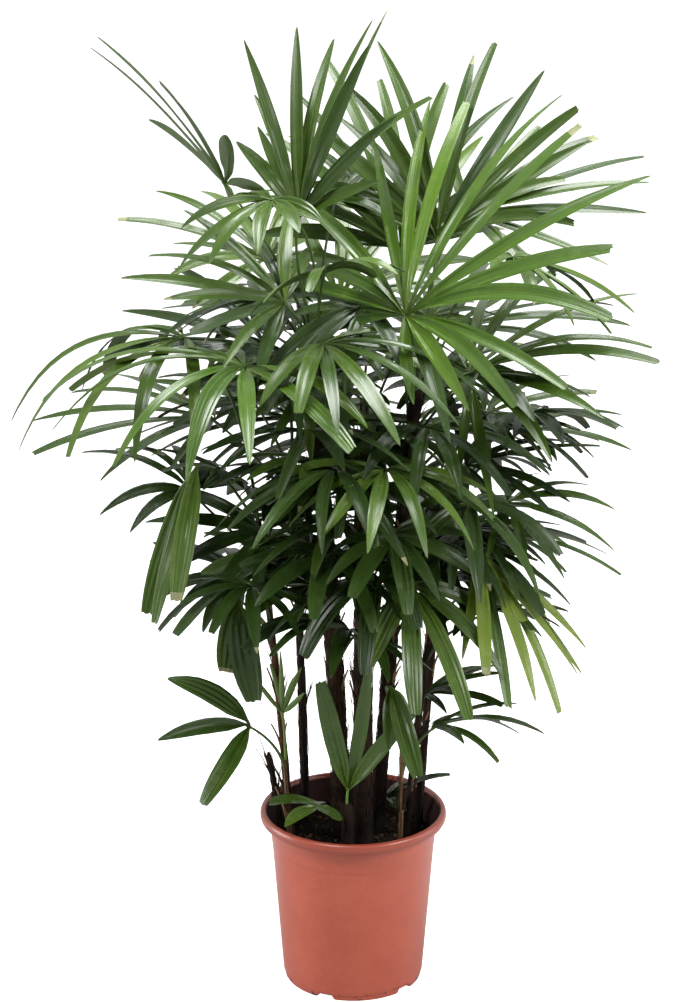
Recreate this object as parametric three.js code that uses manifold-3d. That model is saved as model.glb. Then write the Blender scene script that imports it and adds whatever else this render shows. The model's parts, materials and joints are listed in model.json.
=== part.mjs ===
// A lady palm, Rhapis excelsa, in a round plastic nursery pot.
//
// A clump of slender canes stands in the potting soil. Each cane carries fan fronds: a thin stalk
// that leaves the cane and ends in a hub, from which ribbed leaflets spread like the sticks of a fan.
// Units are millimetres and +Z is up. The origin is the centre of the pot's flat underside, +X is to
// the right and +Y to the back of the plant.

import * as THREE from "three";
import { mergeVertices } from "three/addons/utils/BufferGeometryUtils.js";
import Module from "manifold-3d";

const wasm = await Module();
wasm.setup();

// ---------------------------------------------------------------- driving dimensions

const GAP = 0.3; // clearance kept between two solids that touch in life

const POT = {
  height: 232,
  baseRadius: 90,
  neckRadius: 106.5, // outside of the wall, right under the rim
  rimRadius: 120,
  neckHeight: 211,
  wall: 2.2,
  floor: 3,
  footHeight: 7,
  footStep: 1.2, // the foot ring stands back from the wall by this much
  sides: 44,
};
const NOTCH = { count: 5, first: -114, width: 22, depth: 13, height: POT.footHeight };
const SOIL = { top: 194, sides: 44 };

const CANE = { sides: 8, steps: 8, sunk: 8, flare: 1.35, flareHeight: 26, taper: 0.8 };
const STALK = { sides: 3, steps: 5, rootRadius: 3.6, tipRadius: 2.9, overlap: 5 };

// The plate that the leaflets of a fan share, cut to a notch between each two of them.
const PLATE = { share: 0.085, least: 15, top: 2.5, bottom: 5.5, margin: 0.42 };

// A leaflet's outline beyond the plate: its width at places along it, as shares of the widest.
const LEAFLET = {
  longPlaces: [0.22, 0.5, 0.8, 1],
  longGirths: [0.8, 1, 0.84, 0.32],
  shortPlaces: [0.3, 0.68, 1],
  shortGirths: [0.88, 0.96, 0.32],
  longFrom: 225, // the blade from which the longer list is taken
  thickness: 2.4,
  thicknessShare: 0.0105, // of its length, where that is more
};

// The rule of the fan. Angles are in degrees, and each "vary" is the whole width of a random spread.
const FAN = {
  spread: 205,
  droop: 0.5,
  cup: 9,
  shorter: 0.34, // how much of its length the outermost leaflet lacks
  turnVary: 9,
  liftVary: 12,
  lengthVary: 0.2,
  widthVary: 0.34,
  droopVary: 0.6,
};

const COLOURS = {
  fresh: 0x7d9f3c,
  green: 0x4f7d34,
  deep: 0x2b4a26,
  cane: 0x33231c,
  pot: 0xbf614c,
  soil: 0x1f1814,
};

// The clump. A cane runs from its foot on the soil to its tip. A frond gives its hub's place, its
// aim, which is the bearing, rise and roll of its middle, its fan, which is the number, length and
// width of its leaflets, and whatever else differs from the rule of the fan. Bearings count from +X
// towards +Y, and a roll lifts the fan's left edge. A cane's fronds are listed from the top down.
const CANES = [
  {
    name: "tall_left_cane",
    foot: [-12, -4],
    tip: [-54, -20, 871],
    radius: 12,
    fronds: [
      {
        hub: [-66, -30, 1011], aim: [45, 64, 0], fan: [13, 262, 19],
        spread: 100, cup: 8, shorter: 0.5, droop: 0.3, tone: "green",
      },
      {
        hub: [-156, 30, 1040], aim: [174, 45, 20], fan: [8, 246, 20],
        spread: 200, shorter: 0.5, droop: 0.2, tone: "green",
      },
      { hub: [-83, -60, 914], aim: [175, 28, -25], fan: [10, 200, 18], spread: 180, tone: "green" },
      { hub: [-38, -130, 881], aim: [-40, 0, 0], fan: [9, 240, 20], spread: 170, droop: 1, tone: "green" },
      {
        hub: [-128, -150, 858], aim: [-158, 10, 0], fan: [11, 290, 23],
        spread: 240, droop: 1, tone: "fresh",
      },
      { hub: [-111, 130, 923], aim: [130, 30, 0], fan: [8, 205, 19], tone: "green" },
      { hub: [-68, 150, 827], aim: [100, 10, 0], fan: [10, 260, 20], tone: "deep" },
      { hub: [-48, -52, 552], aim: [185, 5, 0], fan: [7, 150, 18], spread: 150, tone: "green" },
    ],
  },
  {
    name: "tall_right_cane",
    foot: [30, 10],
    tip: [78, -10, 805],
    radius: 9.5,
    fronds: [
      { hub: [102, 40, 969], aim: [82, 66, 0], fan: [13, 270, 19], spread: 120, cup: 4, tone: "green" },
      {
        hub: [60, -110, 911], aim: [36, 48, 10], fan: [19, 345, 20],
        spread: 270, shorter: 0.6, tone: "fresh",
      },
      { hub: [141, 90, 989], aim: [8, 15, 20], fan: [10, 225, 17], spread: 160, droop: 0.3, tone: "green" },
      { hub: [58, 120, 938], aim: [105, 62, 0], fan: [14, 270, 19], spread: 130, cup: 2, tone: "green" },
      {
        hub: [141, -20, 814], aim: [-5, 34, 28], fan: [11, 268, 18],
        spread: 220, droop: 0.8, tone: "green",
      },
      { hub: [124, 170, 822], aim: [60, 10, 0], fan: [10, 260, 20], tone: "deep" },
      { hub: [88, -80, 765], aim: [-50, -5, 0], fan: [9, 190, 20], droop: 1, tone: "deep" },
      { hub: [140, -100, 676], aim: [-70, -20, 0], fan: [6, 160, 24], droop: 1.2, tone: "deep" },
    ],
  },
  {
    name: "left_cane",
    foot: [-80, 5],
    tip: [-119, -10, 625],
    radius: 4.8,
    fronds: [
      {
        hub: [-205, -30, 863], aim: [200, 0, -10], fan: [9, 294, 19],
        spread: 190, droop: 2.7, tone: "green",
      },
      {
        hub: [-190, -60, 712], aim: [248, -52, 0], fan: [3, 222, 28],
        spread: 24, shorter: 0.08, droop: 1.2, tone: "green",
      },
      {
        hub: [-144, -40, 530], aim: [292, -74, 0], fan: [3, 140, 34],
        spread: 44, droop: 0.5, tone: "green",
      },
    ],
  },
  {
    name: "left_back_cane",
    foot: [-62, 60],
    tip: [-77, 60, 695],
    radius: 5.6,
    fronds: [
      { hub: [-104, 60, 822], aim: [175, 18, -20], fan: [8, 235, 19], spread: 180, tone: "deep" },
      { hub: [-178, 150, 708], aim: [150, 5, 0], fan: [9, 260, 20], tone: "deep" },
      { hub: [-110, -40, 618], aim: [170, 25, -30], fan: [8, 152, 19], tone: "deep" },
      { hub: [-59, -60, 756], aim: [-50, 5, 0], fan: [11, 200, 20], spread: 260, tone: "deep" },
    ],
  },
  {
    name: "middle_cane",
    foot: [13, -28],
    tip: [10, -60, 705],
    radius: 12.5,
    fronds: [
      { hub: [36, -150, 733], aim: [-75, -5, 0], fan: [9, 190, 20], droop: 1, tone: "green" },
      { hub: [-23, -140, 730], aim: [-110, 0, 0], fan: [10, 200, 20], droop: 1, tone: "deep" },
      {
        hub: [67, -130, 582], aim: [-57, -36, 0], fan: [5, 200, 28],
        spread: 120, droop: 1.3, tone: "green",
      },
      { hub: [29, -130, 591], aim: [-130, -8, 0], fan: [5, 185, 30], spread: 140, droop: 1.2, tone: "deep" },
      { hub: [-11, -75, 645], aim: [-140, -5, 0], fan: [7, 150, 20], droop: 0.9, tone: "green" },
    ],
  },
  {
    name: "right_cane",
    foot: [68, -10],
    tip: [108, -10, 572],
    radius: 5,
    fronds: [
      { hub: [140, 20, 687], aim: [0, 8, 20], fan: [9, 160, 15], spread: 180, tone: "deep" },
      { hub: [189, -30, 654], aim: [-10, 0, 20], fan: [8, 150, 14], droop: 0.7, tone: "green" },
      { hub: [155, 0, 602], aim: [-14, 5, 0], fan: [8, 192, 15], spread: 150, droop: 0.9, tone: "green" },
      { hub: [152, -70, 606], aim: [-50, -53, 0], fan: [9, 225, 17], spread: 92, tone: "fresh" },
      { hub: [45, 10, 242], aim: [-5, 30, 0], fan: [3, 85, 22], spread: 110, tone: "deep" },
    ],
  },
  {
    name: "right_back_cane",
    foot: [85, 35],
    tip: [125, 80, 689],
    radius: 5,
    fronds: [
      { hub: [166, 80, 735], aim: [10, 8, 15], fan: [9, 145, 14], tone: "green" },
      { hub: [215, 150, 695], aim: [40, 5, 0], fan: [8, 160, 15], tone: "deep" },
      { hub: [101, 160, 569], aim: [70, 5, 0], fan: [9, 220, 20], tone: "deep" },
    ],
  },
  {
    name: "back_cane",
    foot: [5, 75],
    tip: [15, 140, 738],
    radius: 6.5,
    fronds: [
      { hub: [-17, 190, 857], aim: [100, 40, 0], fan: [10, 260, 20], tone: "green" },
      { hub: [-70, 230, 685], aim: [120, 5, 0], fan: [10, 260, 20], tone: "deep" },
      { hub: [62, 240, 668], aim: [70, 5, 0], fan: [10, 260, 20], tone: "deep" },
    ],
  },
  {
    name: "low_right_cane",
    foot: [60, -45],
    tip: [61, -45, 337],
    radius: 3.4,
    fronds: [
      { hub: [44, -110, 443], aim: [-62, -62, 0], fan: [3, 112, 29], spread: 34, droop: 0.9, tone: "green" },
      { hub: [99, -50, 363], aim: [-5, 20, -8], fan: [7, 145, 19], spread: 104, droop: 0.9, tone: "green" },
      { hub: [92, 10, 384], aim: [5, 14, 0], fan: [8, 118, 15], spread: 150, tone: "deep" },
    ],
  },
  {
    name: "low_left_cane",
    foot: [-80, -30],
    tip: [-88, -30, 310],
    radius: 3.4,
    fronds: [
      {
        hub: [-130, -52, 367], aim: [200, 7, -50], fan: [3, 130, 26],
        spread: 92, shorter: 0, tone: "green",
      },
      { hub: [-90, -32, 374], aim: [-120, 80, 0], fan: [5, 84, 8], spread: 76, droop: 0, tone: "fresh" },
    ],
  },
  {
    name: "front_shoot",
    foot: [-7, -60],
    tip: [-7, -60, 264],
    radius: 9,
    fronds: [
      {
        hub: [-7, -60, 281], aim: [10, 80, 72], fan: [3, 194, 23],
        spread: 50, shorter: 0.12, droop: 0, tone: "fresh",
      },
      { hub: [-44, -50, 255], aim: [200, 5, 0], fan: [4, 66, 24], tone: "green" },
    ],
  },
  { name: "cut_stub", foot: [-92, 0], tip: [-109, 0, 309], radius: 4.2, fronds: [] },
];

// Turns tried, in order, on a leaflet that would touch another piece: [sideways, up], in degrees.
const DODGES = [
  [0, 0], [0, 5], [0, -5], [4, 2], [-4, 2], [4, -4], [-4, -4], [0, 10], [0, -10], [7, 0], [-7, 0],
  [7, 8], [-7, 8], [7, -8], [-7, -8], [0, 16], [0, -16], [10, 4], [-10, 4], [10, -9], [-10, -9],
];
const SHORTENINGS = [1, 0.62]; // shares of its length that a leaflet is tried at
const KNOT_STEPS = [0, -14, 14, -28, 28, -42, 42, -60, -80, -100]; // the same for a stalk's height

// ---------------------------------------------------------------- helpers

const vector = (x, y, z) => new THREE.Vector3(x, y, z);
const radians = THREE.MathUtils.degToRad;
const mix = THREE.MathUtils.lerp;

/** A value from 0 to 1 that is always the same for frond f, leaflet i and purpose k. */
function chance(f, i, k) {
  const s = Math.sin(f * 12.9898 + i * 78.233 + k * 37.719) * 43758.5453;
  return s - Math.floor(s);
}

/** The same, centred on zero and spread over a whole width. */
const vary = (width, f, i, k) => width * (chance(f, i, k) - 0.5);

/** A geometry from its corners and the corner numbers of its faces. */
function geometryFrom(points, faces) {
  const geometry = new THREE.BufferGeometry().setFromPoints(points);
  geometry.setIndex(faces.flat());
  return geometry;
}

/** The two faces of a four-cornered patch. */
const patch = (a, b, c, d) => [[a, b, c], [a, c, d]];

/** The three sides of a leaflet between two of its sections, each given by its corners' numbers. */
function leafletSides(near, far) {
  const sides = [[1, 0], [0, 2], [2, 1]];
  return sides.flatMap(([a, b]) => patch(near[a], near[b], far[b], far[a]));
}

/** A closed geometry through rings of points, each ring anticlockwise as seen from the ones after it. */
function loft(rings) {
  const size = rings[0].length;
  const last = (rings.length - 1) * size;
  const faces = [];
  for (let start = 0; start < last; start += size) {
    for (let i = 0; i < size; i++) {
      const next = (i + 1) % size;
      faces.push(...patch(start + i, start + next, start + size + next, start + size + i));
    }
  }
  for (let i = 1; i + 1 < size; i++) {
    faces.push([0, i + 1, i], [last, last + i, last + i + 1]);
  }
  return geometryFrom(rings.flat(), faces);
}

/** A round tube along a curve, with its radius given by a function of the share of the way. */
function tube(curve, radiusAt, sides, steps) {
  const frames = curve.computeFrenetFrames(steps, false);
  const ring = (step) =>
    Array.from({ length: sides }, (_, side) => {
      const angle = (2 * Math.PI * side) / sides;
      const radius = radiusAt(step / steps);
      return curve
        .getPointAt(step / steps)
        .addScaledVector(frames.normals[step], radius * Math.cos(angle))
        .addScaledVector(frames.binormals[step], radius * Math.sin(angle));
    });
  return loft(frames.tangents.map((_, step) => ring(step)));
}

/** The solid of a closed geometry, ready to be joined or cut. */
function solidOf(geometry) {
  const bare = geometry.clone().deleteAttribute("normal").deleteAttribute("uv");
  const merged = mergeVertices(bare, 1e-3);
  return new wasm.Manifold(
    new wasm.Mesh({
      numProp: 3,
      vertProperties: new Float32Array(merged.attributes.position.array),
      triVerts: new Uint32Array(merged.index.array),
    }),
  );
}

/** The flat-shaded geometry of a solid. */
function geometryOf(solid) {
  const mesh = solid.getMesh();
  const geometry = new THREE.BufferGeometry();
  geometry.setAttribute("position", new THREE.BufferAttribute(new Float32Array(mesh.vertProperties), 3));
  geometry.setIndex(new THREE.BufferAttribute(new Uint32Array(mesh.triVerts), 1));
  const flat = geometry.toNonIndexed();
  flat.computeVertexNormals();
  return flat;
}

/** The largest body of a solid that a cut has left in pieces. */
function largestBody(solid) {
  return solid.decompose().reduce((a, b) => (a.volume() > b.volume() ? a : b));
}

/** The pieces placed so far, each with its solid, its box and the name of what it belongs to. */
class Crowd {
  constructor() {
    this.members = [];
  }

  add(solid, owner) {
    this.members.push({ solid, owner, box: solid.boundingBox() });
  }

  /** Whether a solid meets any piece that isn't its owner's. */
  meets(solid, owner) {
    const box = solid.boundingBox();
    const near = (m) => [0, 1, 2].every((k) => m.box.min[k] < box.max[k] && box.min[k] < m.box.max[k]);
    return this.members.some((m) => m.owner !== owner && near(m) && !m.solid.intersect(solid).isEmpty());
  }
}

const clump = new THREE.Group();

function addNode(name, solid, colour, roughness) {
  const material = new THREE.MeshStandardMaterial({ color: colour, roughness, metalness: 0 });
  const mesh = new THREE.Mesh(geometryOf(solid), material);
  mesh.name = name;
  clump.add(mesh);
}

// ---------------------------------------------------------------- pot and soil

/** The outside radius of the pot's wall at a height below the rim. */
function wallRadius(height) {
  return mix(POT.baseRadius, POT.neckRadius, height / POT.neckHeight);
}

/** The pot's section, from the middle of its underside up the outside, over the rim and down inside. */
function potSection() {
  const section = new THREE.Path();
  section.moveTo(0, 0);
  section.lineTo(wallRadius(0) - POT.footStep - 1, 0);
  section.lineTo(wallRadius(0) - POT.footStep, 1);
  section.lineTo(wallRadius(POT.footHeight) - POT.footStep, POT.footHeight);
  section.lineTo(wallRadius(POT.footHeight + 1), POT.footHeight + 1);
  section.lineTo(POT.neckRadius, POT.neckHeight);
  section.bezierCurveTo(
    POT.neckRadius + 1, POT.neckHeight + 6,
    POT.rimRadius, POT.neckHeight + 5,
    POT.rimRadius, POT.height - 8,
  );
  section.quadraticCurveTo(POT.rimRadius, POT.height, POT.rimRadius - 5, POT.height);
  section.quadraticCurveTo(POT.rimRadius - 8.5, POT.height, POT.rimRadius - 9, POT.height - 6);
  section.lineTo(POT.neckRadius - POT.wall, POT.neckHeight - 3);
  section.lineTo(wallRadius(POT.floor) - POT.wall, POT.floor);
  section.lineTo(0, POT.floor);
  return section.getPoints(3);
}

/** A solid turned about +Z from a section whose x is the radius and y the height. */
function turned(section, sides) {
  return solidOf(new THREE.LatheGeometry(section, sides).rotateX(Math.PI / 2));
}

/** The drain cut number k across the foot ring. */
function drainCut(k) {
  const angle = radians(NOTCH.first + (k * 360) / NOTCH.count);
  const block = new THREE.BoxGeometry(2 * NOTCH.depth, NOTCH.width, 2 * NOTCH.height);
  return solidOf(block.translate(POT.baseRadius, 0, 0).rotateZ(angle));
}

function makePot() {
  const cuts = Array.from({ length: NOTCH.count }, (_, k) => drainCut(k));
  return cuts.reduce((pot, cut) => pot.subtract(cut), turned(potSection(), POT.sides));
}

/** The soil fills the pot to a flat top, clear of its wall. */
function makeSoil() {
  const inset = POT.wall + 2 * GAP;
  const bottom = NOTCH.height + GAP;
  const outline = [
    new THREE.Vector2(0, bottom),
    new THREE.Vector2(wallRadius(bottom) - inset, bottom),
    new THREE.Vector2(wallRadius(SOIL.top) - inset, SOIL.top),
    new THREE.Vector2(0, SOIL.top),
  ];
  return turned(outline, SOIL.sides);
}

// ---------------------------------------------------------------- canes

/** A cane's centre line: it leaves the soil nearly upright and leans over as it climbs. */
function caneCurve(cane) {
  const foot = vector(cane.foot[0], cane.foot[1], SOIL.top - CANE.sunk);
  const tip = vector(...cane.tip);
  const elbow = vector(mix(foot.x, tip.x, 0.35), mix(foot.y, tip.y, 0.35), mix(foot.z, tip.z, 0.5));
  return new THREE.QuadraticBezierCurve3(foot, elbow, tip);
}

/** A cane with a flare at its foot, cut flat at the soil and grown all round by a margin. */
function makeCane(cane, margin = 0) {
  const height = cane.tip[2] - SOIL.top + CANE.sunk;
  const radiusAt = (share) => {
    const flare = 1 + (CANE.flare - 1) * Math.max(0, 1 - (share * height) / CANE.flareHeight);
    return cane.radius * mix(1, CANE.taper, share) * flare + margin;
  };
  const ground = new THREE.BoxGeometry(4 * POT.rimRadius, 4 * POT.rimRadius, SOIL.top);
  const below = solidOf(ground.translate(0, 0, SOIL.top / 2 + GAP));
  return solidOf(tube(caneCurve(cane), radiusAt, CANE.sides, CANE.steps)).subtract(below);
}

// ---------------------------------------------------------------- fronds

/** The frond's three directions: along its middle, across the fan, and out of its upper face. */
function fanAxes(frond) {
  const bearing = radians(frond.bearing);
  const rise = radians(frond.rise);
  const level = vector(Math.cos(bearing), Math.sin(bearing), 0);
  const along = level.multiplyScalar(Math.cos(rise)).add(vector(0, 0, Math.sin(rise)));
  const across = vector(-Math.sin(bearing), Math.cos(bearing), 0).applyAxisAngle(along, radians(frond.roll));
  return { along, across, face: along.clone().cross(across) };
}

/** The direction at a turn from the fan's middle towards its left, lifted off its plane. */
function fanDirection(frond, turn, lift) {
  const { along, across, face } = fanAxes(frond);
  return along
    .multiplyScalar(Math.cos(radians(turn)))
    .addScaledVector(across, Math.sin(radians(turn)))
    .multiplyScalar(Math.cos(radians(lift)))
    .addScaledVector(face, Math.sin(radians(lift)));
}

/** Leaflet i's place in its fan, from -1 to 1. */
const placeOf = (frond, i) => (2 * i) / (frond.leaflets - 1) - 1;

/** The turn of leaflet i's root. */
function rootTurn(frond, i) {
  return (frond.spread / 2) * placeOf(frond, i) + vary(FAN.turnVary, frond.seed, i, 1);
}

/** Leaflet i's centre line, from the hub's middle: straight at first, then sagging. */
function leafletCurve(frond, i, { turn, lift, share }) {
  const shorter = 1 - frond.shorter * Math.abs(placeOf(frond, i)) ** 1.6;
  const length = frond.blade * shorter * (1 + vary(FAN.lengthVary, frond.seed, i, 3)) * share;
  const droop = frond.droop * (1 + vary(FAN.droopVary, frond.seed, i, 4));
  const lifted = frond.cup + vary(FAN.liftVary, frond.seed, i, 2) + lift;
  const direction = fanDirection(frond, rootTurn(frond, i) + turn, lifted);
  const hub = vector(...frond.hub);
  const middle = hub.clone().addScaledVector(direction, length / 2);
  const sagging = direction.clone().add(vector(0, 0, -droop)).normalize();
  const tip = middle.clone().addScaledVector(sagging, length / 2);
  return { curve: new THREE.QuadraticBezierCurve3(hub, middle, tip), direction, length };
}

/** Leaflet i's sections at some places along it: its right edge, its left edge and its keel. */
function leafletRings(frond, i, dodge, places, girths, margin = 0) {
  const { curve, direction, length } = leafletCurve(frond, i, dodge);
  const level = fanAxes(frond).face.cross(direction).normalize();
  const thickness = Math.max(LEAFLET.thickness, LEAFLET.thicknessShare * length) + 2 * margin;
  const half = (frond.width / 2) * (1 + vary(FAN.widthVary, frond.seed, i, 5));
  return places.map((place, k) => {
    const centre = curve.getPoint(place);
    const tangent = curve.getTangent(place);
    const left = level.clone().addScaledVector(tangent, -level.dot(tangent)).normalize();
    const up = tangent.clone().cross(left);
    const reach = half * girths[k] + margin;
    return [
      centre.clone().addScaledVector(left, -reach).addScaledVector(up, 0.4 * thickness),
      centre.clone().addScaledVector(left, reach).addScaledVector(up, 0.4 * thickness),
      centre.clone().addScaledVector(up, -0.6 * thickness),
    ];
  });
}

/** Leaflet i alone and grown by the gap, to try whether there is room for it. */
function makeProbe(frond, i, dodge) {
  const rings = leafletRings(frond, i, dodge, [0.13, 0.3, 0.65, 1], [0.45, 0.88, 0.98, 0.34], GAP);
  return solidOf(loft(rings.map(([right, left, keel]) => [left, right, keel])));
}

/** The corners of the plate: its notches, and the keel under each leaflet's root. */
function plateCorners(frond) {
  const reach = Math.max(PLATE.least, PLATE.share * frond.blade);
  const turns = Array.from({ length: frond.leaflets }, (_, i) => rootTurn(frond, i));
  const edge = (PLATE.margin * frond.spread) / (frond.leaflets - 1);
  const between = turns.slice(1).map((turn, i) => (turn + turns[i]) / 2);
  const at = (turn) => vector(...frond.hub).addScaledVector(fanDirection(frond, turn, frond.cup), reach);
  const notches = [turns[0] - edge, ...between, turns.at(-1) + edge].map(at);
  const { face } = fanAxes(frond);
  const keels = turns.map((turn) => at(turn).addScaledVector(face, -LEAFLET.thickness));
  return { notches, keels };
}

/** A fan as one closed solid: the plate, and on it each leaflet that has a dodge in the list. */
function makeFan(frond, dodges) {
  const { notches, keels } = plateCorners(frond);
  const { face } = fanAxes(frond);
  const hub = vector(...frond.hub);
  const points = [hub.clone().addScaledVector(face, PLATE.top), hub.addScaledVector(face, -PLATE.bottom)];
  const [top, bottom] = [0, 1];
  const notch = (i) => 2 + i;
  points.push(...notches);
  const faces = [[top, bottom, notch(0)], [top, notch(frond.leaflets), bottom]];
  const long = frond.blade >= LEAFLET.longFrom;
  const places = long ? LEAFLET.longPlaces : LEAFLET.shortPlaces;
  const girths = long ? LEAFLET.longGirths : LEAFLET.shortGirths;
  for (let i = 0; i < frond.leaflets; i++) {
    let ring = [notch(i), notch(i + 1), points.push(keels[i]) - 1];
    const [right, left, keel] = ring;
    faces.push([top, right, left], [bottom, left, keel], [bottom, keel, right]);
    const sections = dodges[i] ? leafletRings(frond, i, dodges[i], places, girths) : [];
    for (const section of sections) {
      const next = section.map((point) => points.push(point) - 1);
      faces.push(...leafletSides(ring, next));
      ring = next;
    }
    faces.push([ring[0], ring[2], ring[1]]);
  }
  return solidOf(geometryFrom(points, faces));
}

/** The height at which a frond's stalk leaves its cane. */
function knotHeight(frond, step) {
  const { cane, hub } = frond;
  const away = Math.hypot(hub[0] - cane.tip[0], hub[1] - cane.tip[1]);
  const drop = 45 + away * (0.55 + 0.5 * Math.sin(radians(Math.max(0, frond.rise))));
  const highest = cane.tip[2] - 6 - 16 * frond.order;
  return Math.max(SOIL.top + 30, Math.min(hub[2] - drop, highest) + step);
}

/** A frond's stalk, from the middle of its cane to a little way into its fan. */
function makeStalk(frond, step) {
  const { cane } = frond;
  const line = caneCurve(cane);
  const foot = SOIL.top - CANE.sunk;
  const share = Math.min((knotHeight(frond, step) - foot) / (cane.tip[2] - foot), 0.995);
  const knot = line.getPoint(share);
  const end = vector(...frond.hub).addScaledVector(fanAxes(frond).along, STALK.overlap);
  const span = end.distanceTo(knot);
  const arriving = fanDirection({ ...frond, roll: 0, rise: frond.rise * 0.6 + 25 }, 0, 0);
  const curve = new THREE.CubicBezierCurve3(
    knot,
    knot.clone().addScaledVector(line.getTangent(share), 0.32 * span),
    end.clone().addScaledVector(arriving, -0.3 * span),
    end,
  );
  const radiusAt = (t) => mix(STALK.rootRadius, STALK.tipRadius, t);
  return solidOf(tube(curve, radiusAt, STALK.sides, STALK.steps));
}

/** The first stalk that meets nothing, cut clear of its own cane. */
function placeStalk(frond, crowd) {
  const grownCane = makeCane(frond.cane, GAP);
  const stalks = KNOT_STEPS.map((step) => largestBody(makeStalk(frond, step).subtract(grownCane)));
  return stalks.find((stalk) => !crowd.meets(stalk, frond.cane.name)) ?? stalks[0];
}

/** The first dodge at which leaflet i meets nothing, if there is one. */
function placeLeaflet(frond, i, crowd) {
  const others = frond.probes;
  const fits = (dodge) => {
    const probe = makeProbe(frond, i, dodge);
    if (others.meets(probe, i) || crowd.meets(probe, frond.name)) return false;
    const alone = Array.from({ length: frond.leaflets }, (_, k) => (k === i ? dodge : undefined));
    return !crowd.meets(makeFan(frond, alone), frond.name);
  };
  return SHORTENINGS.flatMap((share) => DODGES.map(([turn, lift]) => ({ turn, lift, share }))).find(fits);
}

// ---------------------------------------------------------------- the plant

addNode("pot", makePot(), COLOURS.pot, 0.45);
addNode("potting_soil", makeSoil(), COLOURS.soil, 1);
const crowd = new Crowd();
crowd.add(makeSoil(), "soil");
crowd.add(turned(potSection(), POT.sides), "pot");
for (const cane of CANES) {
  addNode(cane.name, makeCane(cane), COLOURS.cane, 0.9);
  crowd.add(makeCane(cane), cane.name);
}

// Every frond takes what it doesn't state from the rule of the fan. The stalks and plates are placed
// first, then the leaflets one by one, so that a leaflet always gives way to a stalk.
const fronds = CANES.flatMap((cane, number) =>
  cane.fronds.map(({ aim: [bearing, rise, roll], fan: [leaflets, blade, width], ...stated }, order) => {
    const name = `${cane.name}_frond_${order + 1}`;
    const seed = 10 * number + order;
    return { ...FAN, ...stated, bearing, rise, roll, leaflets, blade, width, cane, order, seed, name };
  }),
);
fronds.forEach((frond) => {
  frond.stalk = placeStalk(frond, crowd);
  frond.probes = new Crowd();
  crowd.add(frond.stalk, frond.name);
  crowd.add(makeFan(frond, []), frond.name);
});
for (const frond of fronds) {
  frond.dodges = [];
  for (let i = 0; i < frond.leaflets; i++) {
    const dodge = placeLeaflet(frond, i, crowd);
    frond.dodges.push(dodge);
    if (!dodge) continue;
    const probe = makeProbe(frond, i, dodge);
    frond.probes.add(probe, i);
    crowd.add(probe, frond.name);
  }
  const fan = makeFan(frond, frond.dodges);
  crowd.add(fan, frond.name);
  addNode(frond.name, largestBody(fan.add(frond.stalk)), COLOURS[frond.tone], 0.4);
}

export default clump;
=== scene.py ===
"""The looks of a potted lady palm: fibrous canes with ribbed fan fronds in a nursery pot.

Sizes are written in millimetres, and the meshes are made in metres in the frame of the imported
solids: +Z up, the origin at the middle of the pot's underside, +Y to the back of the plant.
"""

import json
import logging
import math
from dataclasses import dataclass, field
from enum import Enum
from functools import cache

import bpy
import numpy as np
from bpy.types import Material, Mesh, Node, NodeSocket, NodeTree, Object
from mathutils import Matrix, Vector, kdtree

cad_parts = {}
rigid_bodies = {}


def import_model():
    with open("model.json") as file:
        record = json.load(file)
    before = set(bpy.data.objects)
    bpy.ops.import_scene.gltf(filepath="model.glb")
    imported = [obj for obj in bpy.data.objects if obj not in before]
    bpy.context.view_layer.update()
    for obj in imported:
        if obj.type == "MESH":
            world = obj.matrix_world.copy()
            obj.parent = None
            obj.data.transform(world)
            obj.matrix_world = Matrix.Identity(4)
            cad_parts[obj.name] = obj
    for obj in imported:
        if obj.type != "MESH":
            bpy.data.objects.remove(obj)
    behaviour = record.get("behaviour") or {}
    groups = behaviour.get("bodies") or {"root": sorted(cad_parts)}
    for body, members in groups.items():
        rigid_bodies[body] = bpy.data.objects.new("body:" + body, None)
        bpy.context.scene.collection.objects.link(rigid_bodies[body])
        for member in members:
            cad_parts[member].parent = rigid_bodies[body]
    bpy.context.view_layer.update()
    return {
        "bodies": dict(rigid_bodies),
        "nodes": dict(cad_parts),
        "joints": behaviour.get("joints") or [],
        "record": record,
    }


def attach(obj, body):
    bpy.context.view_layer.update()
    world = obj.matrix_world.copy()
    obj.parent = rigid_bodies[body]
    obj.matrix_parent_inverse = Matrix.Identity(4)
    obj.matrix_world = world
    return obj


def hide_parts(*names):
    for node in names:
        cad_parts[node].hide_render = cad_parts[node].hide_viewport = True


LOG = logging.getLogger("lady_palm")
MM = 0.001
Pair = tuple[float, float]
Triple = tuple[float, float, float]
Ring = list[Vector]
Path = list[tuple[Vector, float]]


# --- what the plant is made of


class Tone(Enum):
    """How young a frond's leaf tissue is; the deep tone's dark colours are also painted shade for fronds
    inside and at the back of the crown.
    """

    FRESH = "fresh"
    GREEN = "green"
    DEEP = "deep"


class Bark(Enum):
    """The cast of a cane's old leaf sheaths."""

    BROWN = "brown"
    BLACK = "black"
    RUSSET = "russet"
    TAN = "tan"


FRESH, GREEN, DEEP = Tone

FAN_TURN_VARY = 9.0
FAN_LIFT_VARY = 12.0
FAN_LENGTH_VARY = 0.2
FAN_WIDTH_VARY = 0.34
FAN_DROOP_VARY = 0.6
SOLID_THICKNESS = 2.4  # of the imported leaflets, or the next share of their length
SOLID_THICKNESS_SHARE = 0.0105
SOLID_TIP_GIRTH = 0.32
SOLID_TIP_LIFT = 0.4  # of a packed leaflet's edges at its tip, as a share of its thickness
SOLID_STALK = (3.6, 2.9)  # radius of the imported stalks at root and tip
SOLID_STRETCHES = 5  # of a packed stalk between its sections
STALK_STEPS = 20
TIP_SLACK = 0.5  # how near a packed corner has to be to count as found
STALK_SLACK = 0.35
STALK_OVERLAP = 5.0
STALK_DROP = (45.0, 0.55, 0.5)  # of a stalk's root: at least, per reach, and per reach where it rises
STALK_HANDLES = (0.32, 0.3)  # how far a stalk runs on straight at its root and at its hub
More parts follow.
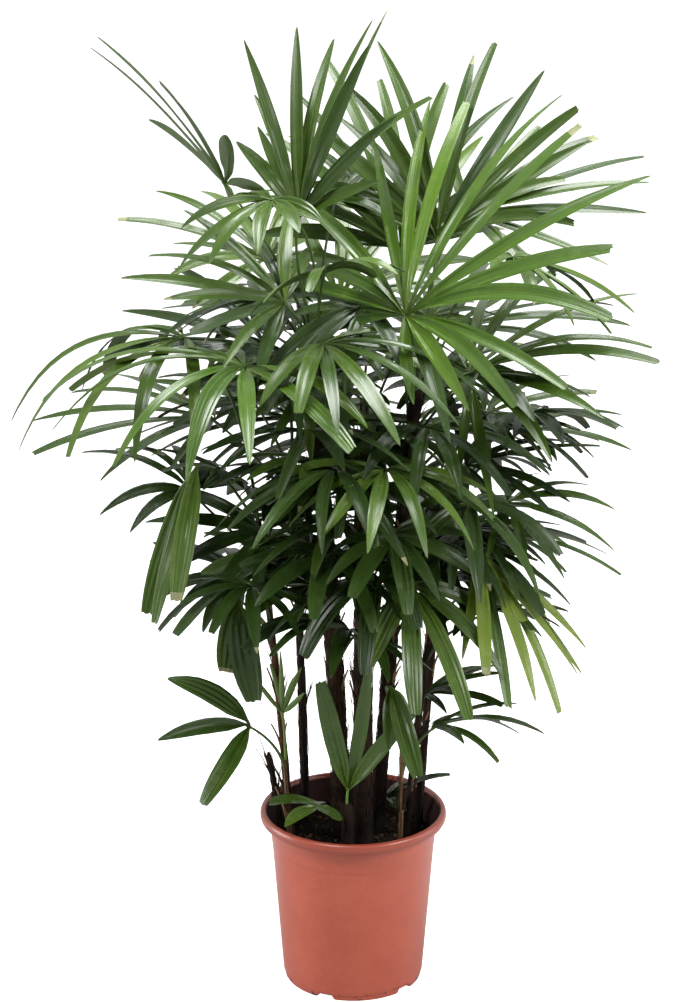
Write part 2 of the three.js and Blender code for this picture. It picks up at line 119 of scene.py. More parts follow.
STALK_ARRIVAL = (0.6, 25.0)  # its rise at the hub: a share of the frond's, and degrees more
KNOT_OVER_SOIL = 30.0
KNOT_UNDER_TIP = 6.0
KNOT_SPACING = 16.0
SOIL_TOP = 194.0
CANE_FOOT = SOIL_TOP - 8.0

# Turns of a leaflet, sideways and up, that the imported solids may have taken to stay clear.
DODGES = [
    (0, 0), (0, 5), (0, -5), (4, 2), (-4, 2), (4, -4), (-4, -4), (0, 10), (0, -10), (7, 0), (-7, 0),
    (7, 8), (-7, 8), (7, -8), (-7, -8), (0, 16), (0, -16), (10, 4), (-10, 4), (10, -9), (-10, -9),
]
SHORTENINGS = (1.0, 0.62)
KNOT_STEPS = (0, -14, 14, -28, 28, -42, 42, -60, -80, -100)


def chance(f: float, i: float, k: float) -> float:
    """A value from 0 to 1 that is always the same for frond f, leaflet i and purpose k."""
    s = math.sin(f * 12.9898 + i * 78.233 + k * 37.719) * 43758.5453
    return s - math.floor(s)


def vary(width: float, f: float, i: float, k: float) -> float:
    """The same chance, centred on zero and spread over a whole width."""
    return width * (chance(f, i, k) - 0.5)


def mix(a: float, b: float, t: float) -> float:
    """The value a share t of the way from a to b."""
    return a + (b - a) * t


def ease(low: float, high: float, x: float) -> float:
    """A smooth step from 0 at low to 1 at high."""
    t = min(1.0, max(0.0, (x - low) / (high - low)))
    return t * t * (3 - 2 * t)


def spoke(bearing: float) -> Vector:
    """The level direction at a bearing in radians."""
    return Vector((math.cos(bearing), math.sin(bearing), 0))


def circle(sides: int) -> list[float]:
    """The angles of a circle's corners in radians."""
    return [2 * math.pi * k / sides for k in range(sides)]


@dataclass
class Frond:
    """A fan frond: its hub's place, its aim (bearing, rise, roll) and its fan of leaflets.

    The fan is the number, length and width of its leaflets. Bearings count from +X towards +Y.
    """

    hub: Triple
    aim: Triple
    fan: tuple[int, float, float]
    tone: Tone
    spread: float = 205.0
    droop: float = 0.5
    cup: float = 9.0
    shorter: float = 0.34
    name: str = ""
    seed: int = 0
    order: int = 0


@dataclass
class Cane:
    """A cane from its foot in the soil to its tip, with its fronds listed from the top down."""

    name: str
    foot: Pair
    tip: Triple
    radius: float
    bark: Bark
    fronds: list[Frond] = field(default_factory=list)
    taper: float = 0.8
    flare: float = 0.35
    flare_height: float = 26.0

    def axis(self, share: float) -> Vector:
        """The cane's middle at a share of the way up: nearly upright first, leaning later.

        Args:
            share: the share, from 0 at the foot to 1 at the tip.

        Returns:
            The place.
        """
        foot, tip = Vector((*self.foot, CANE_FOOT)), Vector(self.tip)
        elbow = Vector((mix(foot.x, tip.x, 0.35), mix(foot.y, tip.y, 0.35), mix(foot.z, tip.z, 0.5)))
        return foot * (1 - share) ** 2 + elbow * (2 * share * (1 - share)) + tip * share**2

    def heading(self, share: float) -> Vector:
        """The cane's direction at a share of the way up.

        Args:
            share: the share, from 0 at the foot to 1 at the tip.

        Returns:
            The direction.
        """
        step = 0.002
        low, high = max(0.0, share - step), min(1.0, share + step)
        return (self.axis(high) - self.axis(low)).normalized()

    def height(self) -> float:
        """The height of the tip over the foot."""
        return self.tip[2] - CANE_FOOT

    def girth(self, share: float) -> float:
        """The cane's radius at a share of the way up, with the flare at its foot."""
        flare = self.flare * max(0.0, 1 - share * self.height() / self.flare_height)
        return self.radius * mix(1, self.taper, share) * (1 + flare)

    def spine(self, share: float, bearing: float, out: float, shape: Triple, radii: Pair, steps: int) -> Path:
        """A dry stub or bristle that stands off the cane.

        Args:
            share: how far up the cane it stands.
            bearing: its side of the cane in radians.
            out: its root's distance from the middle, over the cane's radius.
            shape: its length, its lean as a share of that, and the share of the lean it starts with.
            radii: its radius at root and tip.
            steps: the number of its stretches.

        Returns:
            Its places and radii.
        """
        length, lean, early = shape
        outward, heading = spoke(bearing), self.heading(share)
        root = self.axis(share) + outward * (out * self.girth(share))
        path = []
        for step in range(steps + 1):
            t = step / steps
            place = root + outward * (length * lean * t * (early + (1 - early) * t)) + heading * (length * t)
            path.append((place, mix(*radii, t)))
        return path


# Fronds inside or at the back of the crown take the deep tone, whose dark colours are partly painted shade.
CANES = [
    Cane("tall_left_cane", (-12, -4), (-54, -20, 871), 12, Bark.BROWN, [
        Frond((-66, -30, 1011), (45, 64, 0), (13, 262, 19), GREEN, spread=100, cup=8, shorter=0.5, droop=0.3),
        Frond((-156, 30, 1040), (174, 45, 20), (8, 246, 20), GREEN, spread=200, shorter=0.5, droop=0.2),
        Frond((-83, -60, 914), (175, 28, -25), (10, 200, 18), GREEN, spread=180),
        Frond((-38, -130, 881), (-40, 0, 0), (9, 240, 20), GREEN, spread=170, droop=1),
        Frond((-128, -150, 858), (-158, 10, 0), (11, 290, 23), FRESH, spread=240, droop=1),
        Frond((-111, 130, 923), (130, 30, 0), (8, 205, 19), GREEN),
        Frond((-68, 150, 827), (100, 10, 0), (10, 260, 20), DEEP),
        Frond((-48, -52, 552), (185, 5, 0), (7, 150, 18), GREEN, spread=150),
    ]),
    Cane("tall_right_cane", (30, 10), (78, -10, 805), 9.5, Bark.BLACK, [
        Frond((102, 40, 969), (82, 66, 0), (13, 270, 19), GREEN, spread=120, cup=4),
        Frond((60, -110, 911), (36, 48, 10), (19, 345, 20), FRESH, spread=270, shorter=0.6),
        Frond((141, 90, 989), (8, 15, 20), (10, 225, 17), GREEN, spread=160, droop=0.3),
        Frond((58, 120, 938), (105, 62, 0), (14, 270, 19), GREEN, spread=130, cup=2),
        Frond((141, -20, 814), (-5, 34, 28), (11, 268, 18), GREEN, spread=220, droop=0.8),
        Frond((124, 170, 822), (60, 10, 0), (10, 260, 20), DEEP),
        Frond((88, -80, 765), (-50, -5, 0), (9, 190, 20), DEEP, droop=1),
        Frond((140, -100, 676), (-70, -20, 0), (6, 160, 24), DEEP, droop=1.2),
    ]),
    Cane("left_cane", (-80, 5), (-119, -10, 625), 4.8, Bark.RUSSET, [
        Frond((-205, -30, 863), (200, 0, -10), (9, 294, 19), GREEN, spread=190, droop=2.7),
        Frond((-190, -60, 712), (248, -52, 0), (3, 222, 28), GREEN, spread=24, shorter=0.08, droop=1.2),
        Frond((-144, -40, 530), (292, -74, 0), (3, 140, 34), GREEN, spread=44, droop=0.5),
    ]),
    Cane("left_back_cane", (-62, 60), (-77, 60, 695), 5.6, Bark.BLACK, [
        Frond((-104, 60, 822), (175, 18, -20), (8, 235, 19), DEEP, spread=180),
        Frond((-178, 150, 708), (150, 5, 0), (9, 260, 20), DEEP),
        Frond((-110, -40, 618), (170, 25, -30), (8, 152, 19), DEEP),
        Frond((-59, -60, 756), (-50, 5, 0), (11, 200, 20), DEEP, spread=260),
    ]),
    Cane("middle_cane", (13, -28), (10, -60, 705), 12.5, Bark.BROWN, [
        Frond((36, -150, 733), (-75, -5, 0), (9, 190, 20), GREEN, droop=1),
        Frond((-23, -140, 730), (-110, 0, 0), (10, 200, 20), DEEP, droop=1),
        Frond((67, -130, 582), (-57, -36, 0), (5, 200, 28), GREEN, spread=120, droop=1.3),
        Frond((29, -130, 591), (-130, -8, 0), (5, 185, 30), DEEP, spread=140, droop=1.2),
        Frond((-11, -75, 645), (-140, -5, 0), (7, 150, 20), GREEN, droop=0.9),
    ]),
    Cane("right_cane", (68, -10), (108, -10, 572), 5, Bark.BLACK, [
        Frond((140, 20, 687), (0, 8, 20), (9, 160, 15), DEEP, spread=180),
        Frond((189, -30, 654), (-10, 0, 20), (8, 150, 14), GREEN, droop=0.7),
        Frond((155, 0, 602), (-14, 5, 0), (8, 192, 15), GREEN, spread=150, droop=0.9),
        Frond((152, -70, 606), (-50, -53, 0), (9, 225, 17), FRESH, spread=92),
        Frond((45, 10, 242), (-5, 30, 0), (3, 85, 22), DEEP, spread=110),
    ]),
    Cane("right_back_cane", (85, 35), (125, 80, 689), 5, Bark.BROWN, [
        Frond((166, 80, 735), (10, 8, 15), (9, 145, 14), GREEN),
        Frond((215, 150, 695), (40, 5, 0), (8, 160, 15), DEEP),
        Frond((101, 160, 569), (70, 5, 0), (9, 220, 20), DEEP),
    ]),
    Cane("back_cane", (5, 75), (15, 140, 738), 6.5, Bark.BLACK, [
        Frond((-17, 190, 857), (100, 40, 0), (10, 260, 20), GREEN),
        Frond((-70, 230, 685), (120, 5, 0), (10, 260, 20), DEEP),
        Frond((62, 240, 668), (70, 5, 0), (10, 260, 20), DEEP),
    ]),
    Cane("low_right_cane", (60, -45), (61, -45, 337), 3.4, Bark.TAN, [
        Frond((44, -110, 443), (-62, -62, 0), (3, 112, 29), GREEN, spread=34, droop=0.9),
        Frond((99, -50, 363), (-5, 20, -8), (7, 145, 19), GREEN, spread=104, droop=0.9),
        Frond((92, 10, 384), (5, 14, 0), (8, 118, 15), DEEP, spread=150),
    ]),
    Cane("low_left_cane", (-80, -30), (-88, -30, 310), 3.4, Bark.TAN, [
        Frond((-130, -52, 367), (200, 7, -50), (3, 130, 26), GREEN, spread=92, shorter=0),
        Frond((-90, -32, 374), (-120, 80, 0), (5, 84, 8), FRESH, spread=76, droop=0),
    ]),
    Cane("front_shoot", (-7, -60), (-7, -60, 264), 9, Bark.BROWN, [
        Frond((-7, -60, 281), (10, 80, 72), (3, 194, 23), FRESH, spread=50, shorter=0.12, droop=0),
        Frond((-44, -50, 255), (200, 5, 0), (4, 66, 24), GREEN),
    ]),
    Cane("cut_stub", (-92, 0), (-109, 0, 309), 4.2, Bark.BLACK),
]


# --- node trees and meshes


class Tree:
    """Writes a node tree: adds nodes with their settings and joins their sockets."""

    def __init__(self, tree: NodeTree) -> None:
        """Takes the tree that it writes."""
        self.tree = tree

    def sockets(self, inputs: dict[str, str], outputs: dict[str, str]) -> bpy.types.NodeOutputs:
        """Gives a group its sockets.

        Args:
            inputs: the kind of each input, by its name.
            outputs: the kind of each output, by its name.

        Returns:
            The sockets that bring the inputs into the group.
        """
        for way, sockets in (("INPUT", inputs), ("OUTPUT", outputs)):
            for name, kind in sockets.items():
                self.tree.interface.new_socket(name, in_out=way, socket_type=f"NodeSocket{kind}")
        return self.node("NodeGroupInput").outputs

    def feed(self, node: Node, inputs: dict) -> None:
        """Gives a node's inputs, by name or number, their values or joins them to other sockets.

        Args:
            node: the node.
            inputs: the value or socket of each input.
        """
        for key, value in inputs.items():
            if isinstance(value, NodeSocket):
                self.tree.links.new(value, node.inputs[key])
            else:
                node.inputs[key].default_value = value

    def node(self, kind: str, inputs: dict | None = None, **settings: object) -> Node:
        """Adds one node.

        Args:
            kind: the node's type name.
            inputs: what its inputs are fed.
            settings: the node's own properties.

        Returns:
            The node.
        """
        made = self.tree.nodes.new(kind)
        for name, value in settings.items():
            setattr(made, name, value)
        self.feed(made, inputs or {})
        return made

    def value(self, kind: str, inputs: dict | None = None, **settings: object) -> NodeSocket:
        """Adds one node and gives its first output."""
        return self.node(kind, inputs, **settings).outputs[0]

    def sum(self, operation: str, a: object, b: object = 0.0) -> NodeSocket:
        """One step of arithmetic on numbers or sockets."""
        return self.value("ShaderNodeMath", {0: a, 1: b}, operation=operation)

    def times(self, a: object, b: object, more: object = 0.0) -> NodeSocket:
        """The product of a and b, and more."""
        return self.value("ShaderNodeMath", {0: a, 1: b, 2: more}, operation="MULTIPLY_ADD")

    def scaled(self, value: object, low: float, high: float, to_low: float, to_high: float) -> NodeSocket:
        """A value taken smoothly from one range to another and held at its ends."""
        inputs = {"Value": value, "From Min": low, "From Max": high, "To Min": to_low, "To Max": to_high}
        return self.value("ShaderNodeMapRange", inputs, interpolation_type="SMOOTHSTEP")

    def blend(self, factor: object, a: object, b: object) -> NodeSocket:
        """A colour between a and b."""
        return self.node("ShaderNodeMix", {0: factor, 6: a, 7: b}, data_type="RGBA").outputs[2]

    def split(self, coordinates: str) -> list[NodeSocket]:
        """The three parts of a kind of texture coordinates."""
        place = self.node("ShaderNodeTexCoord").outputs[coordinates]
        return list(self.node("ShaderNodeSeparateXYZ", {0: place}).outputs)

    def noise(self, scale: object, detail: float) -> NodeSocket:
        """Noise over the object's places."""
        place = self.node("ShaderNodeTexCoord").outputs["Object"]
        return self.value("ShaderNodeTexNoise", {"Vector": place, "Scale": scale, "Detail": detail})

    def bump(self, height: NodeSocket, strength: float, distance: float) -> NodeSocket:
        """The normal of a surface with a fine relief."""
        return self.value("ShaderNodeBump", {"Height": height, "Strength": strength, "Distance": distance})


class Paint(Tree):
    """The tree of a new material with one Principled shader."""

    def __init__(self, name: str) -> None:
        """Makes the material by its name.

        Args:
            name: the material's name.
        """
        self.material = bpy.data.materials.new(name)
        self.material.use_nodes = True
        super().__init__(self.material.node_tree)
        self.shader = self.tree.nodes["Principled BSDF"]

    def finished(self, plain: dict, joined: dict) -> Material:
        """Gives the shader its plain values and the sockets that drive it, and returns the material.

        Args:
            plain: the plain values, by input.
            joined: the sockets, by input.

        Returns:
            The material.
        """
        self.feed(self.shader, plain)
        self.feed(self.shader, joined)
        return self.material


class Growth(Tree):
    """A Geometry Nodes tree, which takes a geometry and a finish besides its own inputs."""

    def __init__(self, name: str, inputs: dict[str, str]) -> None:
        """Makes the tree by its name, with the kind of each input by its name.

        Args:
            name: the tree's name.
            inputs: the kinds of its own inputs.
        """
        super().__init__(bpy.data.node_groups.new(name, "GeometryNodeTree"))
        inputs = {"Geometry": "Geometry", **inputs, "Finish": "Material"}
        self.given = self.sockets(inputs, {"Geometry": "Geometry"})

    def lines(self) -> NodeSocket:
        """The given lines as curves."""
        return self.value("GeometryNodeMeshToCurve", {0: self.given["Geometry"]})

    def girth(self) -> NodeSocket:
        """The radius that each point of the given lines holds."""
        return self.value("GeometryNodeInputNamedAttribute", {"Name": "girth"}, data_type="FLOAT")

    def swept(self, curve: NodeSocket, sides: object, radius: object, **more: object) -> NodeSocket:
        """A closed tube along a curve."""
        ring = self.value("GeometryNodeCurvePrimitiveCircle", {"Resolution": sides, "Radius": radius})
        return self.value("GeometryNodeCurveToMesh", {0: curve, 1: ring, "Fill Caps": True, **more})

    def random(self, low: object, high: object, seed: object, **more: object) -> NodeSocket:
        """A random number for each element."""
        inputs = {2: low, 3: high, "Seed": seed, **more}
        return self.node("FunctionNodeRandomValue", inputs, data_type="FLOAT").outputs[1]

    def real(self, geometry: NodeSocket) -> NodeSocket:
        """A geometry whose copies are made real."""
        return self.value("GeometryNodeRealizeInstances", {0: geometry})

    def ended(self, mesh: NodeSocket) -> NodeTree:
        """Puts the real mesh out with the given finish and returns the tree.

        Args:
            mesh: the real mesh.

        Returns:
            The tree.
        """
        done = self.value("GeometryNodeSetMaterial", {"Geometry": mesh, "Material": self.given["Finish"]})
        self.node("NodeGroupOutput", {"Geometry": done})
        return self.tree


def rgba(colour: Triple) -> tuple[float, float, float, float]:
    """A colour with full cover."""
    return (*colour, 1.0)


def link(name: str, mesh: Mesh) -> Object:
    """Puts a mesh in the scene as an object at the origin.

    Args:
        name: the object's name.
        mesh: its mesh.

    Returns:
        The object.
    """
    thing = bpy.data.objects.new(name, mesh)
    bpy.context.scene.collection.objects.link(thing)
    return thing


class Shells:
    """Gathers closed shells, with their texture places and finishes, into one mesh."""

    def __init__(self) -> None:
        """Starts with nothing gathered."""
        self.points: list[Triple] = []
        self.faces: list[list[int]] = []
        self.places: list[Pair] = []
        self.finishes: list[int] = []

    def point(self, place: Vector) -> int:
        """Adds a point in millimetres and returns its number."""
        self.points.append((place.x * MM, place.y * MM, place.z * MM))
        return len(self.points) - 1

    def face(self, corners: list[int], places: list[Pair], finish: int) -> None:
        """Adds a face with the texture place of each corner.

        Args:
            corners: the numbers of its points.
            places: the texture place of each.
            finish: the number of its finish.
        """
        self.faces.append(corners)
        self.places.extend(places)
        self.finishes.append(finish)

    def quad(self, rows: list[list[int]], a: int, b: int, u: Pair, v: Pair, finish: int) -> None:
        """Adds the face from column a to column b of two rows of points."""
        corners = [rows[0][a], rows[0][b], rows[1][b], rows[1][a]]
        self.face(corners, [(u[0], v[0]), (u[1], v[0]), (u[1], v[1]), (u[0], v[1])], finish)

    def tube(self, rings: list[Ring], finish: int = 0) -> None:
        """Adds a closed tube through rings that run anticlockwise as seen from its far end.

        Args:
            rings: the rings.
            finish: the number of the tube's finish.
        """
        size, last = len(rings[0]), len(rings) - 1
        rows = [[self.point(corner) for corner in ring] for ring in rings]
        for j in range(last):
            for i in range(size):
                u, v = (i / size, (i + 1) / size), (j / last, (j + 1) / last)
                self.quad(rows[j : j + 2], i, (i + 1) % size, u, v, finish)
        self.face(rows[0][::-1], [(0.0, 0.0)] * size, finish)
        self.face(rows[-1], [(0.0, 1.0)] * size, finish)

    def piece(self, name: str, materials: list[Material], crease: float) -> Object:
        """Makes the gathered shells an object.

        Args:
            name: the piece's name.
            materials: the materials that the finish numbers count.
            crease: the angle in degrees from which an edge stays sharp.

        Returns:
            The object, linked to the scene.
        """
        mesh = bpy.data.meshes.new(name)
        mesh.from_pydata(self.points, [], self.faces)
        for material in materials:
            mesh.materials.append(material)
        mesh.polygons.foreach_set("material_index", self.finishes)
        layer = mesh.uv_layers.new(name="UVMap")
        layer.uv.foreach_set("vector", np.array(self.places, np.float32).ravel())
        mesh.shade_smooth()
        mesh.set_sharp_from_angle(angle=math.radians(crease))
        return link(name, mesh)


def lines(name: str, paths: list[Path]) -> Object:
    """Makes an object of open paths, each a list of places and radii in millimetres.

    Args:
        name: the object's name.
        paths: the paths.

    Returns:
        The object, whose points hold their radius as girth.
    """
    points, edges, girths = [], [], []
    for path in paths:
        start = len(points)
        points += [place * MM for place, _ in path]
        girths += [radius * MM for _, radius in path]
        edges += [(start + k, start + k + 1) for k in range(len(path) - 1)]
    mesh = bpy.data.meshes.new(name)
    mesh.from_pydata(points, edges, [])
    mesh.attributes.new("girth", "FLOAT", "POINT").data.foreach_set("value", girths)
    return link(name, mesh)


def grown(source: Object, tree: NodeTree, values: dict, name: str) -> Object:
    """Runs a Geometry Nodes tree on an object and keeps only the plain mesh that it makes.

    Args:
        source: the object that the tree starts from, which is removed.
        tree: the tree.
        values: the tree's inputs, by name.
        name: the finished piece's name.

    Returns:
        The finished piece.
    """
    modifier = source.modifiers.new("growth", "NODES")
    modifier.node_group = tree
    for item in tree.interface.items_tree:
        if item.in_out == "INPUT" and item.name in values:
            modifier[item.identifier] = values[item.name]
    bpy.context.view_layer.update()
    evaluated = source.evaluated_get(bpy.context.evaluated_depsgraph_get())
    mesh = bpy.data.meshes.new_from_object(evaluated)
    mesh.name = name
    old = source.data
    bpy.data.objects.remove(source)
    bpy.data.meshes.remove(old)
    return link(name, mesh)


@cache
def tube_tree() -> NodeTree:
    """The Geometry Nodes tree that gives lines a round section of their own girth."""
    tree = Growth("stalk_tube", {"Sides": "Int"})
    return tree.ended(tree.real(tree.swept(tree.lines(), tree.given["Sides"], 1.0, Scale=tree.girth())))


def tubes(name: str, paths: list[Path], sides: int, finish: Material) -> Object:
    """Makes a piece of round closed tubes along paths."""
    return grown(lines(name, paths), tube_tree(), {"Sides": sides, "Finish": finish}, name)


def settle(piece: Object, nodes: tuple[str, ...] | list[str] = ()) -> None:
    """Fixes a finished piece to the plant's body.

    Args:
        piece: the finished piece.
        nodes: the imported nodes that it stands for.
    """
    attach(piece, "root")
    if nodes:
        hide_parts(*nodes)
    piece.data.calc_loop_triangles()
    LOG.info("%s: %d triangles", piece.name, len(piece.data.loop_triangles))


# --- finishes


@cache
def mottle_group() -> NodeTree:
    """The shader group that clouds a colour with a second one in patches.

    Returns:
        The group.
    """
    tree = Tree(bpy.data.node_groups.new("mottle", "ShaderNodeTree"))
    inputs = {"Colour": "Color", "Second Colour": "Color", "Scale": "Float", "Cover": "Float"}
    given = tree.sockets(inputs, {"Colour": "Color", "Mask": "Float", "Height": "Float"})
    coarse, fine = tree.noise(given["Scale"], 5.0), tree.noise(tree.times(given["Scale"], 6.0), 3.0)
    both = tree.times(fine, 0.35, tree.times(coarse, 0.65))
    mask = tree.times(tree.scaled(both, 0.38, 0.62, 0, 1), given["Cover"])
    colour = tree.blend(mask, given["Colour"], given["Second Colour"])
    tree.node("NodeGroupOutput", {"Colour": colour, "Mask": mask, "Height": both})
    return tree.tree


@cache
def rib_group() -> NodeTree:
    """The shader group of a leaf blade: ribs and fine veins along it, paler towards its root.

    Returns:
        The group.
    """
    tree = Tree(bpy.data.node_groups.new("leaf_ribs", "ShaderNodeTree"))
    outputs = {"Colour": "Color", "Roughness": "Float", "Height": "Float"}
    given = tree.sockets({"Colour": "Color", "Rib Colour": "Color", "Ribs": "Float"}, outputs)
    across, along, _ = tree.split("UV")
    counted = tree.times(across, given["Ribs"])
    rib = tree.scaled(tree.sum("PINGPONG", counted, 0.5), 0.0, 0.12, 1, 0)
    veins = tree.sum("SINE", tree.times(counted, 2 * math.pi * 2))
    cloud = tree.noise(38.0, 4.0)
    share = tree.sum("MAXIMUM", tree.times(rib, 0.5), tree.scaled(along, 0.02, 0.2, 0.55, 0))
    shade = tree.sum("ADD", tree.scaled(cloud, 0.3, 0.7, -0.12, 0.2), share)
    shade = tree.sum("MAXIMUM", tree.times(veins, 0.07, shade), 0.0)
    colour = tree.blend(shade, given["Colour"], given["Rib Colour"])
    tree.node(
        "NodeGroupOutput",
        {"Colour": colour, "Roughness": tree.times(cloud, 0.12), "Height": tree.times(veins, 0.12, rib)},
    )
    return tree.tree


@dataclass(frozen=True)
class LeafFinish:
    """Living leaf tissue, waxy and ribbed lengthwise."""

    name: str
    colour: Triple
    rib_colour: Triple
    roughness: float = 0.25
    coat: float = 0.08
    specular: float = 0.36
    ribs: float = 6.0

    def material(self) -> Material:
        """The leaf material.

        Returns:
            The material.
        """
        paint = Paint(self.name)
        inputs = {"Colour": rgba(self.colour), "Rib Colour": rgba(self.rib_colour), "Ribs": self.ribs}
        ribs = paint.node("ShaderNodeGroup", inputs, node_tree=rib_group()).outputs
        plain = {"Roughness": self.roughness, "Specular IOR Level": self.specular}
        plain |= {"Coat Weight": self.coat, "Coat Roughness": 0.2}
        rough = paint.sum("ADD", ribs["Roughness"], self.roughness - 0.05)
        normal = paint.bump(ribs["Height"], 0.35, 0.0004)
        return paint.finished(plain, {"Base Color": ribs["Colour"], "Roughness": rough, "Normal": normal})


@dataclass(frozen=True)
class EarthyFinish:
    """A dull natural surface clouded with a second colour: bark, fibre, dry tissue or soil.

    Low down it darkens by a set amount, fully under 0.2 m and fading out by 0.36 m: painted shade round the
    canes' feet over the soil.
    """

    name: str
    colour: Triple
    second: Triple
    scale: float = 90.0
    cover: float = 0.8
    roughness: float = 0.85
    relief: float = 0.0008
    specular: float = 0.2
    # How far painted shade darkens the surface low down, and the colour it darkens towards.
    low_shade: float = 0.0
    low_shade_colour: Triple = (0.005, 0.003, 0.0025)

    def clouds(self, paint: Paint) -> bpy.types.NodeOutputs:
        """The clouded colour, its mask and its height.

        Args:
            paint: the material's tree.

        Returns:
            The sockets of the three.
        """
        inputs = {"Colour": rgba(self.colour), "Second Colour": rgba(self.second)}
        inputs |= {"Scale": self.scale, "Cover": self.cover}
        return paint.node("ShaderNodeGroup", inputs, node_tree=mottle_group()).outputs

    def material(self) -> Material:
        """The material, with its relief as bump.

        Returns:
            The material.
        """
        paint = Paint(self.name)
        clouds = self.clouds(paint)
        # Painted shade: darker fully under 0.2 m and fading out by 0.36 m, round the canes' feet.
        low_shading = paint.scaled(paint.split("Object")[2], 0.2, 0.36, self.low_shade, 0)
        colour = paint.blend(low_shading, clouds["Colour"], rgba(self.low_shade_colour))
        plain = {"Roughness": self.roughness, "Specular IOR Level": self.specular}
        normal = paint.bump(clouds["Height"], 0.6, self.relief)
        return paint.finished(plain, {"Base Color": colour, "Normal": normal})


@dataclass(frozen=True)
class PotFinish(EarthyFinish):
    """Satin moulded plastic, terracotta coloured, scuffed and soiled at its foot, its inner wall darkened
    with painted shade and some earth stain.
    """

    name: str = "pot_plastic"
    colour: Triple = (0.46, 0.079, 0.037)
    second: Triple = (0.51, 0.1, 0.052)
    scale: float = 26.0
    cover: float = 0.7
    rim: Triple = (0.3, 0.045, 0.02)
    soiled: Triple = (0.03, 0.016, 0.01)
    # The inner wall's dark colour: painted shade, with some earth stain.
    inner: Triple = (0.03, 0.008, 0.006)
    roughness: float = 0.42
    specular: float = 0.45
    gloss: float = 0.55
    wall_slope: float = 0.0782
    wall_middle: Pair = (0.0881, 0.0885)

    def material(self) -> Material:
        """The plastic's material.

        Returns:
            The material.
        """
        paint = Paint(self.name)
        clouds = self.clouds(paint)
        x, y, height = paint.split("Object")
        rolled = paint.scaled(height, 0.212, 0.2155, 0, 0.85)
        colour = paint.blend(rolled, clouds["Colour"], rgba(self.rim))
        spots = paint.scaled(paint.noise(90.0, 6.0), 0.53, 0.59, 0, 0.9)
        soil = paint.times(spots, paint.scaled(height, 0.004, 0.013, 1, 0))
        colour = paint.blend(soil, colour, rgba(self.soiled))
        # The inner wall is painted dark: painted shade, with some earth stain.
        inside = self.inside(paint, x, y, height)
        joined = {"Base Color": paint.blend(inside, colour, rgba(self.inner))}
        joined["Roughness"] = paint.times(clouds["Mask"], 0.08, paint.times(inside, 0.5, 0.38))
        joined["Coat Weight"] = paint.times(inside, -self.gloss, self.gloss)
        joined["Normal"] = paint.bump(paint.noise(900.0, 2.0), 0.25, 0.0002)
        plain = {"Roughness": self.roughness, "Specular IOR Level": self.specular}
        plain |= {"Coat Weight": self.gloss, "Coat Roughness": 0.26}
        return paint.finished(plain, joined)

    def inside(self, paint: Paint, x: NodeSocket, y: NodeSocket, height: NodeSocket) -> NodeSocket:
        """A mask of the inner wall nearly up to the rim, which is painted dark: painted shade, with some
        earth stain.

        Args:
            paint: the material's tree.
            x: the place's distance to the right.
            y: its distance to the back.
            height: its height.

        Returns:
            The mask, 1 on the inner wall and 0 elsewhere.
        """
        radius = paint.sum("SQRT", paint.times(x, x, paint.times(y, y)))
        straight = paint.times(height, -self.wall_slope, radius)
        above = paint.sum("MAXIMUM", paint.sum("SUBTRACT", height, 0.208), 0.0)
        within = paint.scaled(paint.times(above, -0.294, straight), *self.wall_middle, 1.0, 0)
        upper = paint.times(paint.scaled(height, 0.1, 0.12, 0, 1), paint.scaled(height, 0.2265, 0.2285, 1, 0))
        return paint.times(within, upper)


def shades(tone: Tone, specular: float, colours: dict[str, tuple[Triple, Triple]]) -> list[LeafFinish]:
    """The finishes of a tone, each with its shade's colours of blade and ribs."""
    name = f"leaf_{tone.value}_"
    return [LeafFinish(name + shade, *pair, specular=specular) for shade, pair in colours.items()]


LEAF_SHADES = {
    FRESH: shades(FRESH, 0.36, {
        "light": ((0.068, 0.14, 0.009), (0.144, 0.23, 0.03)),
        "mid": ((0.047, 0.104, 0.007), (0.102, 0.179, 0.021)),
        "dark": ((0.037, 0.084, 0.009), (0.084, 0.148, 0.026)),
        # The yellow-green shade is painted light shining through fresh fronds that hang down or are very
        # narrow.
        "yellow": ((0.125, 0.19, 0.018), (0.26, 0.32, 0.06)),
    }),
    GREEN: shades(GREEN, 0.36, {
        "light": ((0.062, 0.119, 0.012), (0.13, 0.202, 0.033)),
        "mid": ((0.041, 0.085, 0.008), (0.09, 0.148, 0.022)),
        "dark": ((0.027, 0.06, 0.008), (0.06, 0.105, 0.02)),
    }),
    # The deep tone's dark shades are partly painted shade for fronds inside and at the back of the crown.
    DEEP: shades(DEEP, 0.24, {
        "light": ((0.032, 0.066, 0.01), (0.066, 0.112, 0.024)),
        "mid": ((0.021, 0.046, 0.007), (0.045, 0.082, 0.017)),
        "dark": ((0.013, 0.03, 0.005), (0.029, 0.055, 0.012)),
    }),
}
UNDERSIDES = {
    tone: LeafFinish(f"leaf_{tone.value}_underside", colour, rib_colour, 0.45, 0.0, specular)
    for tone, colour, rib_colour, specular in (
        (FRESH, (0.096, 0.165, 0.027), (0.17, 0.25, 0.06), 0.3),
        (GREEN, (0.048, 0.088, 0.017), (0.096, 0.148, 0.036), 0.3),
        (DEEP, (0.022, 0.043, 0.01), (0.046, 0.075, 0.021), 0.22),
    )
}
# The deep stalks' dark colours are painted shade too, as the deep leaves' are.
STALKS = {
    tone: EarthyFinish(f"stalk_{tone.value}", colour, second, 30, 0.6, 0.4, 0.0002)
    for tone, colour, second in (
        (FRESH, (0.13, 0.23, 0.04), (0.2, 0.26, 0.07)),
        (GREEN, (0.06, 0.12, 0.025), (0.11, 0.14, 0.045)),
        (DEEP, (0.03, 0.06, 0.018), (0.06, 0.07, 0.03)),
    )
}
